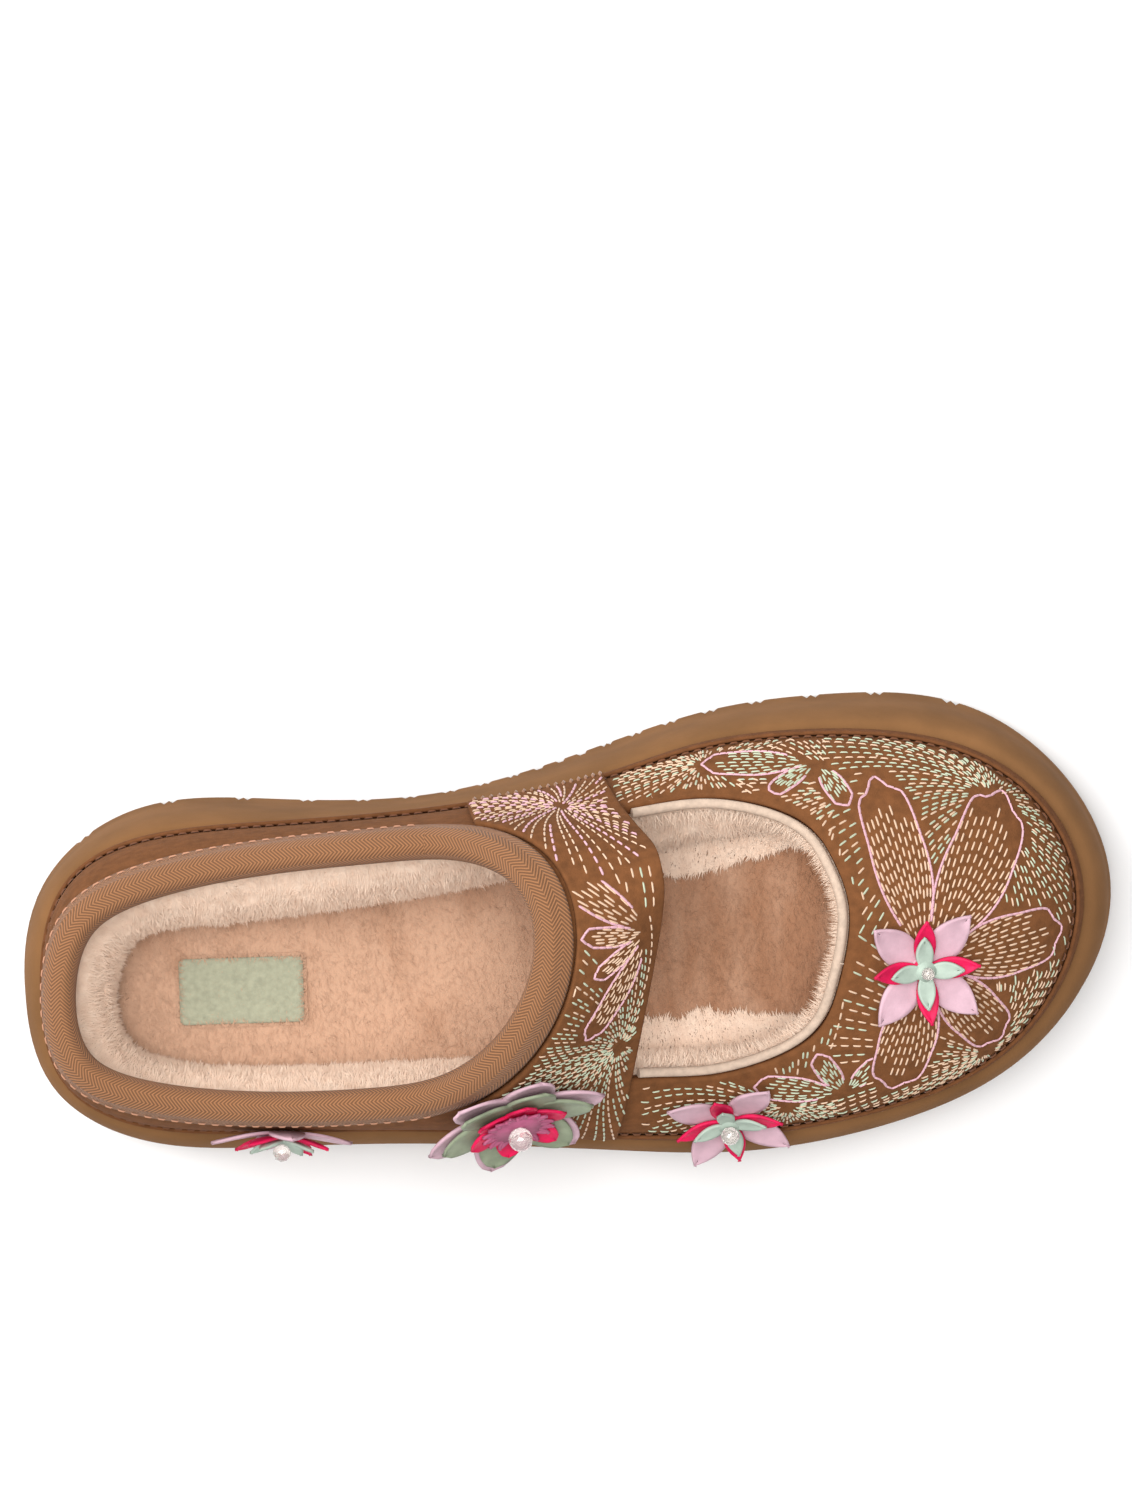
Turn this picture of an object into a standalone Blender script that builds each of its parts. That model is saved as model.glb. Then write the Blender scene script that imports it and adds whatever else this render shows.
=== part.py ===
"""Mary jane slipper for the right foot, on a foam platform sole.

+X runs from heel to toe, +Y to the medial (inner) side and +Z up, in metres. The tables below are in
millimetres, or in per cent of the driving dimensions, and are measured from the back of the heel.
"""

import math
from collections import namedtuple

import bmesh
import bpy
import numpy as np
from mathutils import Matrix, Vector
from mathutils.bvhtree import BVHTree

MM = 0.001

# Driving dimensions, in millimetres.
LENGTH = 272.0          # sole, heel to toe
BALL_WIDTH = 113.0      # sole, across the ball of the foot
INSTEP_HEIGHT = 103.0   # floor to the top of the strap's back edge
WALL = 2.2              # upper: suede and its backing
LINING = 2.2            # room for the fleece between the upper and the inner fold of the binding
GAP = 0.3               # clearance between pieces that touch

# Sole.
SEAT_DEPTH = 4.0        # the upper and insole stand in a recess this deep
SEAT_CLEARANCE = 0.8    # the recess is this much wider than the foot line of the upper
WAIST = 138.0           # the tread's lugs are closest here, and wider towards heel and toe
WAIST_PITCH = 5.5
PITCH_GROWTH = 0.165    # per millimetre from the waist
GROOVE_MOUTH = 0.22     # half widths of a groove at the ground and at its floor, as shares of its pitch
GROOVE_FLOOR = 0.11
MOUTH_LIMIT = 2.2
GROOVE_DEPTH = 3.0
GROOVE_NOTCH = 0.07     # share of the rim that a groove takes out of the edge
END_ARC = (0.2, 0.9, 2.4, 5.0, 8.5, 13.0)   # cross sections of the round heel and toe
RUNG_SPACING = 7.0      # most distance between two cross sections

# Upper, its trims and the insole.
WALL_CELLS = 6
STRAP_CELLS = 9
ARCH_CELLS = 16
HEEL_CELLS = 26
TOE_CELLS = 24
STRAP_COVER_FROM = 2    # strap cells behind this one are under the binding
STRAP_COVER_LOW = 2     # wall cells below this one stay bare
STRAP_COVER = 1.6
FOXING_HEIGHT = 5.0
FOXING_THICKNESS = 1.0
PIPING_RADIUS = 1.4
PIPING_SIDES = 6
INSOLE_THICKNESS = 6.0
INSOLE_ROUND = 2.2      # its top edge is drawn in by this much
INSOLE_STEPS = 36
LABEL_SIZE = (30.0, 16.0)
LABEL_CENTRE = (56.5, -6.0)
LABEL_THICKNESS = 0.8
LABEL_TURN = -3.0       # degrees

# Fleece lining.
PILE_CLEARANCE = 0.5    # from the upper
PILE_STANDING = 0.9     # over the insole at its foot, and twice that at the wall
COLLAR_DROP = 5.4       # it starts this far under the collar's edge, clear of the binding's fold
THROAT_DROP = 0.9       # and this far under the throat's
PILE_BACK = (1.0, 0.66, 0.33, 0.0)      # points of its back, as shares of the wall's height
PILE_FACE = (0.72, 0.45, 0.2)           # points of its face, as shares of the way from its top to its foot

Station = namedtuple(
    "Station",
    "name sole_along sole_side foot_along foot_side edge_along edge_side edge_height sweep bulge pile",
)
# Lines round the shoe: the sole's edge, the foot line where the upper meets the sole, and the upper's top
# edge, which is the collar behind the strap and the throat in front of it. Along is in per cent of LENGTH,
# side of BALL_WIDTH and height of INSTEP_HEIGHT. Sweep is how far the wall leans over, in degrees of an
# ellipse, bulge how far it swells and pile how far the fleece reaches in over the insole, in millimetres.
STATIONS = (
    Station("heel_back", 0.0, -4.4, 3.5, -4.4, 5.2, -4.0, 76.7, 24, 1.0, 14.5),
    Station("heel_medial_corner", 2.6, 19.0, 5.3, 16.4, 7.0, 13.0, 76.5, 24, 1.0, 17.0),
    Station("heel_medial", 11.0, 33.0, 11.4, 27.3, 12.7, 21.4, 75.5, 26, 1.0, 20.0),
    Station("quarter_medial", 23.9, 33.2, 23.9, 29.2, 23.9, 25.8, 75.5, 28, 1.0, 21.0),
    Station("strap_back_medial", 38.6, 31.4, 38.6, 29.3, 39.0, 27.2, 82.0, 32, 1.0, 18.5),
    Station("strap_front_medial", 53.7, 38.5, 54.4, 33.4, 55.5, 28.3, 61.0, 46, 1.0, 19.0),
    Station("throat_medial", 65.0, 45.0, 64.3, 38.8, 63.6, 29.2, 56.5, 56, 1.0, 22.0),
    Station("ball_medial", 76.1, 46.4, 75.7, 39.1, 70.4, 24.2, 58.5, 68, 1.4, 21.0),
    Station("toe_medial", 89.3, 40.3, 87.9, 31.9, 73.7, 14.6, 63.0, 78, 2.0, 19.0),
    Station("toe", 100.0, 0.9, 96.1, 0.9, 74.8, 0.9, 65.5, 82, 2.0, 20.0),
    Station("toe_lateral", 91.9, -35.0, 89.3, -30.1, 73.3, -13.7, 63.0, 78, 2.0, 19.0),
    Station("ball_lateral", 76.7, -50.4, 75.4, -42.9, 69.3, -26.1, 57.5, 68, 1.4, 20.0),
    Station("throat_lateral", 64.7, -53.1, 64.0, -45.4, 62.1, -30.8, 54.5, 56, 1.0, 22.0),
    Station("strap_front_lateral", 52.6, -50.2, 52.9, -43.4, 54.4, -29.8, 59.0, 46, 1.0, 20.0),
    Station("strap_back_lateral", 36.4, -45.8, 36.4, -37.8, 36.8, -29.0, 81.0, 32, 1.0, 15.5),
    Station("quarter_lateral", 22.1, -43.7, 22.1, -35.2, 22.1, -28.6, 75.0, 28, 0.8, 14.0),
    Station("heel_lateral", 9.6, -39.3, 10.6, -31.2, 11.6, -23.6, 75.5, 26, 0.8, 13.5),
    Station("heel_lateral_corner", 2.0, -25.7, 4.8, -21.2, 6.7, -16.6, 76.5, 24, 1.0, 14.0),
)

Level = namedtuple("Level", "along ground rim")
# Side view of the sole: the tread's height above the floor and the rim's, in millimetres.
LEVELS = (
    Level(0, 3.0, 42.0),
    Level(6, 0.0, 41.5),
    Level(32, 0.0, 39.0),
    Level(43, 1.5, 38.0),
    Level(54, 0.0, 36.5),
    Level(70, 0.0, 35.0),
    Level(79, 0.0, 35.0),
    Level(90, 3.2, 37.0),
    Level(100, 10.0, 41.0),
)

Shoulder = namedtuple("Shoulder", "inward upward")
# The sole's side from its widest edge up to the rim: shares of the way in to the foot line and up.
SHOULDERS = (
    Shoulder(0.13, 0.28),
    Shoulder(0.30, 0.70),
    Shoulder(0.58, 0.93),
)
TREAD_EDGE = 0.14       # the tread is drawn in by this share of the rim
EDGE_RISE = 1.6         # height of the widest edge over the tread

Crest = namedtuple("Crest", "along side height")
# The strap's ridge over the instep, at its back and front edges, in per cent like the stations.
STRAP_CRESTS = (
    Crest(48.5, 1.5, 100.0),
    Crest(58.5, 2.0, 91.5),
)

Fold = namedtuple("Fold", "inward outward")
# Section of the collar binding: how far from the collar's edge onto the upper, and how far out of its face.
INNER_FOLD = -(WALL + LINING)
TAPE = 1.2
TAPE_GAP = 0.5
BINDING_SECTION = (
    Fold(5.5, TAPE_GAP + TAPE),
    Fold(0.3, TAPE_GAP + TAPE),
    Fold(-2.0, -0.6),
    Fold(-2.7, INNER_FOLD / 2),
    Fold(-2.0, INNER_FOLD + 0.6),
    Fold(0.3, INNER_FOLD - TAPE),
    Fold(4.5, INNER_FOLD - TAPE),
    Fold(4.5, INNER_FOLD),
    Fold(0.3, INNER_FOLD),
    Fold(-1.3, INNER_FOLD / 2),
    Fold(-0.4, TAPE_GAP),
    Fold(5.5, TAPE_GAP),
)

Layer = namedtuple("Layer", "name petals tip core point cup turn")
# Die-cut petal layers, from the upper outwards: radii and cup in millimetres, turn in degrees. Point is
# near 1 for a sharp petal and higher for a round one.
POINTED_LAYERS = (
    Layer("petals_back", 4, 17.5, 3.6, 1.35, 2.6, 45.0),
    Layer("petals_middle", 4, 13.2, 3.0, 1.35, 3.4, 0.0),
    Layer("petals_front", 4, 9.2, 2.6, 1.5, 3.0, 0.0),
)
ROUND_LAYERS = (
    Layer("petals_back", 6, 22.5, 5.0, 3.0, 3.4, 0.0),
    Layer("petals_inner", 6, 19.0, 4.6, 3.0, 4.0, 0.0),
    Layer("petals_middle", 6, 12.5, 4.2, 3.2, 3.2, 8.0),
    Layer("petals_fringe", 16, 9.0, 7.0, 1.4, 1.9, 0.0),
)
PETAL_THICKNESS = 0.7
PETAL_SAMPLES = (-1.0, -0.5, 0.0, 0.5)   # over half a petal's angle
FRINGE_SAMPLES = (-1.0, 0.0)

Flower = namedtuple("Flower", "name along side height turn stand_off bead layers")
# Place of each flower's middle on the upper, in millimetres, and how far its back stands off the upper.
FLOWERS = (
    Flower("toe", 220.0, -12.0, 64.0, 0.0, GAP, 1.6, POINTED_LAYERS),
    Flower("vamp", 171.5, -46.0, 48.5, 12.0, GAP, 2.3, POINTED_LAYERS),
    Flower("strap", 119.0, -33.0, 70.0, 10.0, 2 * GAP + STRAP_COVER, 2.9, ROUND_LAYERS),
    Flower("heel", 64.5, -38.0, 59.0, 30.0, GAP, 2.2, POINTED_LAYERS),
)

Finish = namedtuple("Finish", "colour roughness")
SUEDE = Finish((0.27, 0.125, 0.055), 0.9)
FOAM = Finish((0.36, 0.20, 0.095), 0.6)
TWILL = Finish((0.31, 0.15, 0.07), 0.85)
FLEECE = Finish((0.62, 0.38, 0.24), 1.0)
PALE_FLEECE = Finish((0.86, 0.70, 0.53), 1.0)
CREAM = Finish((0.80, 0.68, 0.50), 0.9)
SAGE = Finish((0.38, 0.44, 0.31), 0.8)
BEAD = Finish((0.80, 0.76, 0.74), 0.1)
PALE_PINK = Finish((0.66, 0.46, 0.50), 0.6)
HOT_PINK = Finish((0.80, 0.02, 0.12), 0.5)
MINT = Finish((0.50, 0.66, 0.54), 0.6)
MAUVE = Finish((0.55, 0.20, 0.32), 0.6)
POINTED_FINISHES = (PALE_PINK, HOT_PINK, MINT)
ROUND_FINISHES = (PALE_PINK, SAGE, HOT_PINK, MAUVE)


# Curves


def closed_spline(knots, rows):
    """Periodic cubic spline through rows at knots, which start at 0 and go once round before 1."""
    count = len(rows)
    spans = np.diff(np.append(knots, 1.0))
    slopes = (np.roll(rows, -1, 0) - rows) / spans[:, None]
    system = np.zeros((count, count))
    for i in range(count):
        system[i, i] = 2 * (spans[i - 1] + spans[i])
        system[i, i - 1] += spans[i - 1]
        system[i, (i + 1) % count] += spans[i]
    bends = np.linalg.solve(system, 6 * (slopes - np.roll(slopes, 1, 0)))

    def at(u):
        u = np.atleast_1d(u) % 1.0
        i = np.searchsorted(knots, u, side="right") - 1
        j = (i + 1) % count
        span = spans[i][:, None]
        after = (u - knots[i])[:, None]
        before = span - after
        return (
            (bends[i] * before**3 + bends[j] * after**3) / (6 * span)
            + (rows[i] / span - bends[i] * span / 6) * before
            + (rows[j] / span - bends[j] * span / 6) * after
        )

    return at


def open_curve(xs, ys, x):
    """Smooth curve through the points (xs, ys), with no overshoot at the flat stretches, at x."""
    slopes = np.diff(ys) / np.diff(xs)
    before, after = slopes[:-1], slopes[1:]
    same_way = before * after > 0
    total = np.where(same_way, before + after, 1.0)
    middle = np.where(same_way, 2 * before * after / total, 0.0)
    ends = np.concatenate([slopes[:1], middle, slopes[-1:]])
    x = np.clip(x, xs[0], xs[-1])
    i = np.clip(np.searchsorted(xs, x, side="right") - 1, 0, len(xs) - 2)
    span = xs[i + 1] - xs[i]
    t = (x - xs[i]) / span
    return (
        ys[i] * (1 + 2 * t) * (1 - t) ** 2
        + ys[i + 1] * t * t * (3 - 2 * t)
        + span * t * (1 - t) * (ends[i] * (1 - t) - ends[i + 1] * t)
    )


def station_rows():
    """The station table in millimetres and radians, without the names."""
    scale = [LENGTH, BALL_WIDTH] * 3 + [INSTEP_HEIGHT]
    rows = np.array([station[1:] for station in STATIONS], float)
    rows[:, :7] *= np.array(scale) / 100
    rows[:, 7] = np.radians(rows[:, 7])
    return rows


def station_knots(rows):
    steps = np.linalg.norm(np.roll(rows[:, :2], -1, 0) - rows[:, :2], axis=1)
    return np.append(0.0, np.cumsum(steps)[:-1]) / steps.sum()


ROWS = station_rows()
KNOTS = station_knots(ROWS)
ROUND = closed_spline(KNOTS, ROWS)
KNOT_OF = {station.name: knot for station, knot in zip(STATIONS, KNOTS)}
LEVEL_ALONG = np.array([level.along for level in LEVELS]) * LENGTH / 100
LEVEL_GROUND = np.array([level.ground for level in LEVELS])
LEVEL_RIM = np.array([level.rim for level in LEVELS])


def ground(along):
    return open_curve(LEVEL_ALONG, LEVEL_GROUND, along)


def rim(along):
    return open_curve(LEVEL_ALONG, LEVEL_RIM, along)


def unit(vectors):
    return vectors / np.linalg.norm(vectors, axis=-1, keepdims=True)


# Surface of the upper


def wall(u, v):
    """Outer face of the upper's wall at u round the shoe, from the foot line, v 0, to the top edge, v 1."""
    row = ROUND(u)
    v = np.broadcast_to(np.asarray(v, float), len(row))
    sole, foot, edge, height, sweep, bulge = (
        row[:, 0:2], row[:, 2:4], row[:, 4:6], row[:, 6], row[:, 7], row[:, 8],
    )
    base = rim(foot[:, 0]) - SEAT_DEPTH + GAP
    lean = (1 - np.cos(v * sweep)) / (1 - np.cos(sweep))
    climb = np.sin(v * sweep) / np.sin(sweep)
    swell = bulge * np.sin(math.pi * v) ** 2
    flat = foot + (edge - foot) * lean[:, None] + unit(sole - foot) * swell[:, None]
    return np.column_stack([flat, base + (height - base) * climb])


def wall_share(u, above_rim):
    """The v at which the wall at u is this far above the sole's rim."""
    row = ROUND(u)
    base = rim(row[:, 2]) - SEAT_DEPTH + GAP
    climb = (above_rim + SEAT_DEPTH - GAP) / (row[:, 6] - base)
    return np.arcsin(climb * np.sin(row[:, 7])) / row[:, 7]


def strap_ends(t):
    """Where the strap's line t, from back 0 to front 1, leaves the medial and the lateral wall."""
    medial = KNOT_OF["strap_back_medial"], KNOT_OF["strap_front_medial"]
    lateral = KNOT_OF["strap_back_lateral"], KNOT_OF["strap_front_lateral"]
    return tuple(start + (end - start) * t for start, end in (medial, lateral))


def arch(t, w):
    """Outer face of the strap on its line t, from the medial wall, w 0, to the lateral one, w 1."""
    back, front = (np.array(crest, float) for crest in STRAP_CRESTS)
    crest = (back + (front - back) * t) * (LENGTH, BALL_WIDTH, INSTEP_HEIGHT) / 100
    ends = strap_ends(t)
    starts = [wall(u, 1.0)[0] for u in ends]
    ways = [unit(start - wall(u, 0.98)[0]) for start, u in zip(starts, ends)]
    w = np.asarray(w, float)[:, None]
    line = starts[0] * (1 - w) ** 2 * (1 + 2 * w) + starts[1] * w * w * (3 - 2 * w)
    for start, way, share in zip(starts, ways, (w * (1 - w) ** 2, w * w * (1 - w))):
        line[:, 1:] += 4 * share * way[1:] * (crest[2] - start[2]) / way[2]
    middle = (starts[0] + starts[1]) / 2
    line[:, 0] = starts[0][0] + (starts[1][0] - starts[0][0]) * w[:, 0]
    line[:, 0] += (crest[0] - middle[0]) * 4 * w[:, 0] * (1 - w[:, 0])
    line[:, 1] += (crest[1] - middle[1]) * 16 * (w[:, 0] * (1 - w[:, 0])) ** 2
    return line


def upper_loop():
    """Steps round the upper, starting at the back of the strap on the medial side."""
    medial = np.linspace(KNOT_OF["strap_back_medial"], KNOT_OF["strap_front_medial"], STRAP_CELLS + 1)
    toe = np.linspace(KNOT_OF["strap_front_medial"], KNOT_OF["strap_front_lateral"], TOE_CELLS + 1)
    lateral = np.linspace(KNOT_OF["strap_front_lateral"], KNOT_OF["strap_back_lateral"], STRAP_CELLS + 1)
    heel = np.linspace(KNOT_OF["strap_back_lateral"], 1 + KNOT_OF["strap_back_medial"], HEEL_CELLS + 1)
    return np.concatenate([medial[:-1], toe[:-1], lateral[:-1], heel[:-1]])


class UpperSheet:
    """The upper's outer face as one sheet: a wall right round, and the strap's arch between its sides."""

    def __init__(self):
        self.loop = upper_loop()
        self.rows = len(self.loop)
        columns = [wall(self.loop, j / WALL_CELLS) for j in range(WALL_CELLS + 1)]
        inside = np.linspace(0, 1, ARCH_CELLS + 1)[1:-1]
        lines = [arch(i / STRAP_CELLS, inside) for i in range(STRAP_CELLS + 1)]
        self.points = np.concatenate(columns + lines)
        self.wall_faces = [
            (self.at(i, j), self.at(i, j + 1), self.at(i + 1, j + 1), self.at(i + 1, j))
            for i in range(self.rows)
            for j in range(WALL_CELLS)
        ]
        self.arch_faces = [
            (self.over(i, k), self.over(i, k + 1), self.over(i + 1, k + 1), self.over(i + 1, k))
            for i in range(STRAP_CELLS)
            for k in range(ARCH_CELLS)
        ]

    def at(self, i, j):
        """Number of the wall's point i steps round and j cells up."""
        return j * self.rows + i % self.rows

    def lateral_row(self, i):
        """Row of the lateral wall that strap line i comes down to."""
        return 2 * STRAP_CELLS + TOE_CELLS - i

    def over(self, i, k):
        """Number of the arch's point on strap line i, k cells from the medial wall."""
        if k == 0:
            return self.at(i, WALL_CELLS)
        if k == ARCH_CELLS:
            return self.at(self.lateral_row(i), WALL_CELLS)
        return (WALL_CELLS + 1) * self.rows + i * (ARCH_CELLS - 1) + k - 1

    def collar(self):
        """Numbers of the collar's edge, from the medial end of the strap's back edge right round."""
        back_edge = [self.over(0, k) for k in range(ARCH_CELLS)]
        quarters = [self.at(i, WALL_CELLS) for i in range(2 * STRAP_CELLS + TOE_CELLS, self.rows)]
        return back_edge + quarters

    def strap_faces(self):
        """Cells that the strap's cover lies on."""
        rows = range(STRAP_COVER_FROM, STRAP_CELLS)
        first_lateral = STRAP_CELLS + TOE_CELLS
        sides = list(rows) + list(range(first_lateral, first_lateral + STRAP_CELLS - STRAP_COVER_FROM))
        up = range(STRAP_COVER_LOW, WALL_CELLS)
        walls = [self.wall_faces[i * WALL_CELLS + j] for i in sides for j in up]
        arches = [self.arch_faces[i * ARCH_CELLS + k] for i in rows for k in range(ARCH_CELLS)]
        return walls + arches


# Objects


def finish(name, look):
    material = bpy.data.materials.new(name)
    material.use_nodes = True
    shader = material.node_tree.nodes["Principled BSDF"]
    shader.inputs["Base Color"].default_value = (*look.colour, 1.0)
    shader.inputs["Roughness"].default_value = look.roughness
    shader.inputs["Metallic"].default_value = 0.0
    return material


def add_mesh(name, points, faces, look, parent):
    """A smooth-shaded object from points in millimetres. Points that no face uses are left out."""
    mesh = bpy.data.meshes.new(name)
    mesh.from_pydata([Vector(p) * MM for p in points], [], faces)
    shape = bmesh.new()
    shape.from_mesh(mesh)
    loose = [vertex for vertex in shape.verts if not vertex.link_faces]
    bmesh.ops.delete(shape, geom=loose, context="VERTS")
    shape.to_mesh(mesh)
    shape.free()
    mesh.shade_smooth()
    mesh.set_sharp_from_angle(angle=math.radians(40))
    mesh.materials.append(finish(name, look))
    made = bpy.data.objects.new(name, mesh)
    made.parent = parent
    bpy.context.scene.collection.objects.link(made)
    return made


def thicken(made, thickness, outward):
    """Makes a sheet a solid of this thickness, outwards or inwards from it."""
    solid = made.modifiers.new("thickness", "SOLIDIFY")
    solid.thickness = thickness * MM
    solid.offset = 1.0 if outward else -1.0


def lift(made, distance):
    """Moves a sheet along its normals, clear of the surface that it was drawn on."""
    clear = made.modifiers.new("clearance", "DISPLACE")
    clear.strength = distance * MM
    clear.mid_level = 0.0


def ring_faces(first, second, count):
    """Faces between two closed rows of points, the second above the first on an outside wall."""
    return [(first + i, second + i, second + (i + 1) % count, first + (i + 1) % count) for i in range(count)]


def ladder(first, count, upward):
    """Faces that close a row which starts at the heel, from each medial point to its lateral partner."""
    half = count // 2
    faces = []
    for i in range(half):
        corners = [i, i + 1, count - i - 1, (count - i) % count]
        corners = [first + c for c in dict.fromkeys(corners)]
        faces.append(tuple(reversed(corners)) if upward else tuple(corners))
    return faces


# Pieces


def grooves():
    """Middle and pitch of each groove across the tread, stepping out from the waist to heel and toe."""
    found = []
    for way in (-1, 1):
        middle = WAIST if way > 0 else WAIST - WAIST_PITCH
        while END_ARC[-1] + MOUTH_LIMIT < middle < LENGTH - END_ARC[-1] - MOUTH_LIMIT:
            pitch = WAIST_PITCH + PITCH_GROWTH * abs(middle - WAIST)
            found.append((middle, pitch))
            middle += way * pitch
    return sorted(found)


def tread_rungs():
    """Cross sections of the sole, as (along, groove), with groove 1 on a groove's floor and 0 on a lug."""
    rungs = [(x, 0.0) for x in END_ARC]
    for middle, pitch in grooves():
        mouth = min(GROOVE_MOUTH * pitch, MOUTH_LIMIT)
        floor = mouth * GROOVE_FLOOR / GROOVE_MOUTH
        rungs += [(middle - mouth, 0.0), (middle - floor, 1.0), (middle + floor, 1.0), (middle + mouth, 0.0)]
    rungs += [(LENGTH - x, 0.0) for x in reversed(END_ARC)]
    filled = rungs[:1]
    for (start, _), (end, groove) in zip(rungs, rungs[1:]):
        parts = math.ceil((end - start) / RUNG_SPACING)
        filled += [(start + (end - start) * i / parts, 0.0) for i in range(1, parts)]
        filled.append((end, groove))
    return filled


def sole_loop():
    """Steps round the sole, from the heel by the medial side to the toe and back, and each step's groove."""
    fine = np.linspace(0, 1, 4001)
    along = ROUND(fine)[:, 0]
    heel, toe = along[:-1].argmin(), along.argmax()
    if heel > toe:
        heel -= len(fine) - 1
    steps = np.arange(heel, heel + len(fine) - 1)
    turning = toe - heel
    path = along[steps % (len(fine) - 1)]
    rungs = tread_rungs()
    wanted = np.array([x for x, _ in rungs])
    medial = np.interp(wanted, path[: turning + 1], steps[: turning + 1])
    lateral = np.interp(wanted, path[turning:][::-1], steps[turning:][::-1])
    order = np.concatenate([[steps[0]], medial, [steps[turning]], lateral[::-1]]) / (len(fine) - 1)
    grooves = [groove for _, groove in rungs]
    return order % 1.0, np.array([0.0] + grooves + [0.0] + grooves[::-1])


def make_outsole(parent):
    """Foam platform: grooved tread, rounded side and a recess for the upper and insole."""
    loop, groove = sole_loop()
    row = ROUND(loop)
    edge, foot = row[:, 0:2], row[:, 2:4]
    low, high = ground(edge[:, 0]), rim(foot[:, 0])
    seat = foot + unit(edge - foot) * SEAT_CLEARANCE

    def line(inward, height):
        flat = edge + (foot - edge) * np.asarray(inward)[..., None]
        return np.column_stack([flat, np.broadcast_to(height, len(edge))])

    lines = [
        line(TREAD_EDGE + GROOVE_NOTCH * groove, low + GROOVE_DEPTH * groove),
        line(GROOVE_NOTCH * groove, low + EDGE_RISE + GROOVE_DEPTH * groove),
    ]
    lines += [line(np.full(len(edge), s.inward), low + (high - low) * s.upward) for s in SHOULDERS]
    lines += [np.column_stack([seat, high]), np.column_stack([seat, high - SEAT_DEPTH])]
    count = len(edge)
    faces = ladder(0, count, upward=False)
    for i in range(len(lines) - 1):
        faces += ring_faces(i * count, (i + 1) * count, count)
    faces += ladder((len(lines) - 1) * count, count, upward=True)
    return add_mesh("outsole", np.concatenate(lines), faces, FOAM, parent)


def make_insole(parent):
    """Fleece footbed that fills the upper's foot."""
    along = ROUND(np.linspace(0, 1, 721))[:-1, 0]
    toe = along.argmax() / len(along)
    medial = np.linspace(0, toe, INSOLE_STEPS + 1)
    loop = np.concatenate([medial[:-1], np.linspace(toe, 1, INSOLE_STEPS + 1)[:-1]])
    row = ROUND(loop)
    inward = unit(row[:, 2:4] - row[:, 0:2])
    floor = rim(row[:, 2]) - SEAT_DEPTH + GAP

    def line(inset, height):
        return np.column_stack([row[:, 2:4] + inward * inset, floor + height])

    side = WALL + 2 * GAP
    lines = [
        line(side, 0.0),
        line(side + INSOLE_ROUND / 4, INSOLE_THICKNESS / 2),
        line(side + INSOLE_ROUND, INSOLE_THICKNESS),
    ]
    count = len(loop)
    faces = ladder(0, count, upward=False)
    for i in range(len(lines) - 1):
        faces += ring_faces(i * count, (i + 1) * count, count)
    faces += ladder((len(lines) - 1) * count, count, upward=True)
    return add_mesh("insole", np.concatenate(lines), faces, FLEECE, parent)


def land_on(made, flats):
    """Points where plumb lines through these places come down on a piece, in millimetres."""
    tree = BVHTree.FromPolygons(
        [vertex.co for vertex in made.data.vertices], [face.vertices for face in made.data.polygons]
    )
    starts = [Vector((x, y, INSTEP_HEIGHT)) * MM for x, y in flats]
    return [tree.ray_cast(start, Vector((0, 0, -1)))[0] / MM for start in starts]


def make_label(parent, insole):
    """Plain woven tab sewn on the heel of the insole, lying on its slope."""
    turn = Matrix.Rotation(math.radians(LABEL_TURN), 2)
    flats = [
        Vector(LABEL_CENTRE) + turn @ Vector((x * LABEL_SIZE[0], y * LABEL_SIZE[1]))
        for x, y in ((-0.5, -0.5), (0.5, -0.5), (0.5, 0.5), (-0.5, 0.5))
    ]
    label = add_mesh("insole_label", land_on(insole, flats), [(0, 1, 2, 3)], SAGE, parent)
    lift(label, GAP)
    thicken(label, LABEL_THICKNESS, outward=True)


def under_wall(u, v, depth):
    """Points this deep under the outer face of the upper's wall, square to it."""
    step = 0.002
    around = wall(u + step, v) - wall(u - step, v)
    upward = wall(u, v + step) - wall(u, v - step)
    return wall(u, v) - unit(np.cross(upward, around)) * depth


def make_lining(parent, insole):
    """Fleece inside the upper: a plump roll from under the top edge, in over the insole and down onto it."""
    strap = np.linspace(0, 1, STRAP_CELLS, endpoint=False)
    collar = np.concatenate([1 - strap, np.zeros(TOE_CELLS), strap, np.ones(HEEL_CELLS)])
    unseen = np.arange(STRAP_CELLS + 7, STRAP_CELLS + TOE_CELLS - 6, 2)
    loop, collar = np.delete(upper_loop(), unseen), np.delete(collar, unseen)
    row = ROUND(loop)
    drop = THROAT_DROP + (COLLAR_DROP - THROAT_DROP) * collar
    top = 1 - 0.1 * drop / np.linalg.norm(wall(loop, 1.0) - wall(loop, 0.9), axis=1)
    low = wall_share(loop, INSOLE_THICKNESS + GAP - SEAT_DEPTH + 2 * PILE_STANDING)
    back = [under_wall(loop, low + (top - low) * share, WALL + PILE_CLEARANCE) for share in PILE_BACK]
    flats = row[:, 2:4] + unit(row[:, 2:4] - row[:, 0:2]) * row[:, 9:10]
    foot = np.array(land_on(insole, flats)) + [0, 0, PILE_STANDING]
    start = back[0]
    run, fall = (foot - start) * [1, 1, 0], (start - foot) * [0, 0, 1]
    plump = collar[:, None]
    bulge = start + run * (0.55 + 0.15 * plump) - fall * (0.35 - 0.25 * plump)
    heel = foot + run * 0.1 + fall * 0.5
    face = [
        start * (1 - t) ** 3 + bulge * 3 * t * (1 - t) ** 2 + heel * 3 * t * t * (1 - t) + foot * t**3
        for t in PILE_FACE
    ]
    lines = back + [foot] + face
    count = len(loop)
    faces = []
    for i in range(len(lines)):
        faces += ring_faces((i + 1) % len(lines) * count, i * count, count)
    add_mesh("lining", np.concatenate(lines), faces, PALE_FLEECE, parent)


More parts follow.
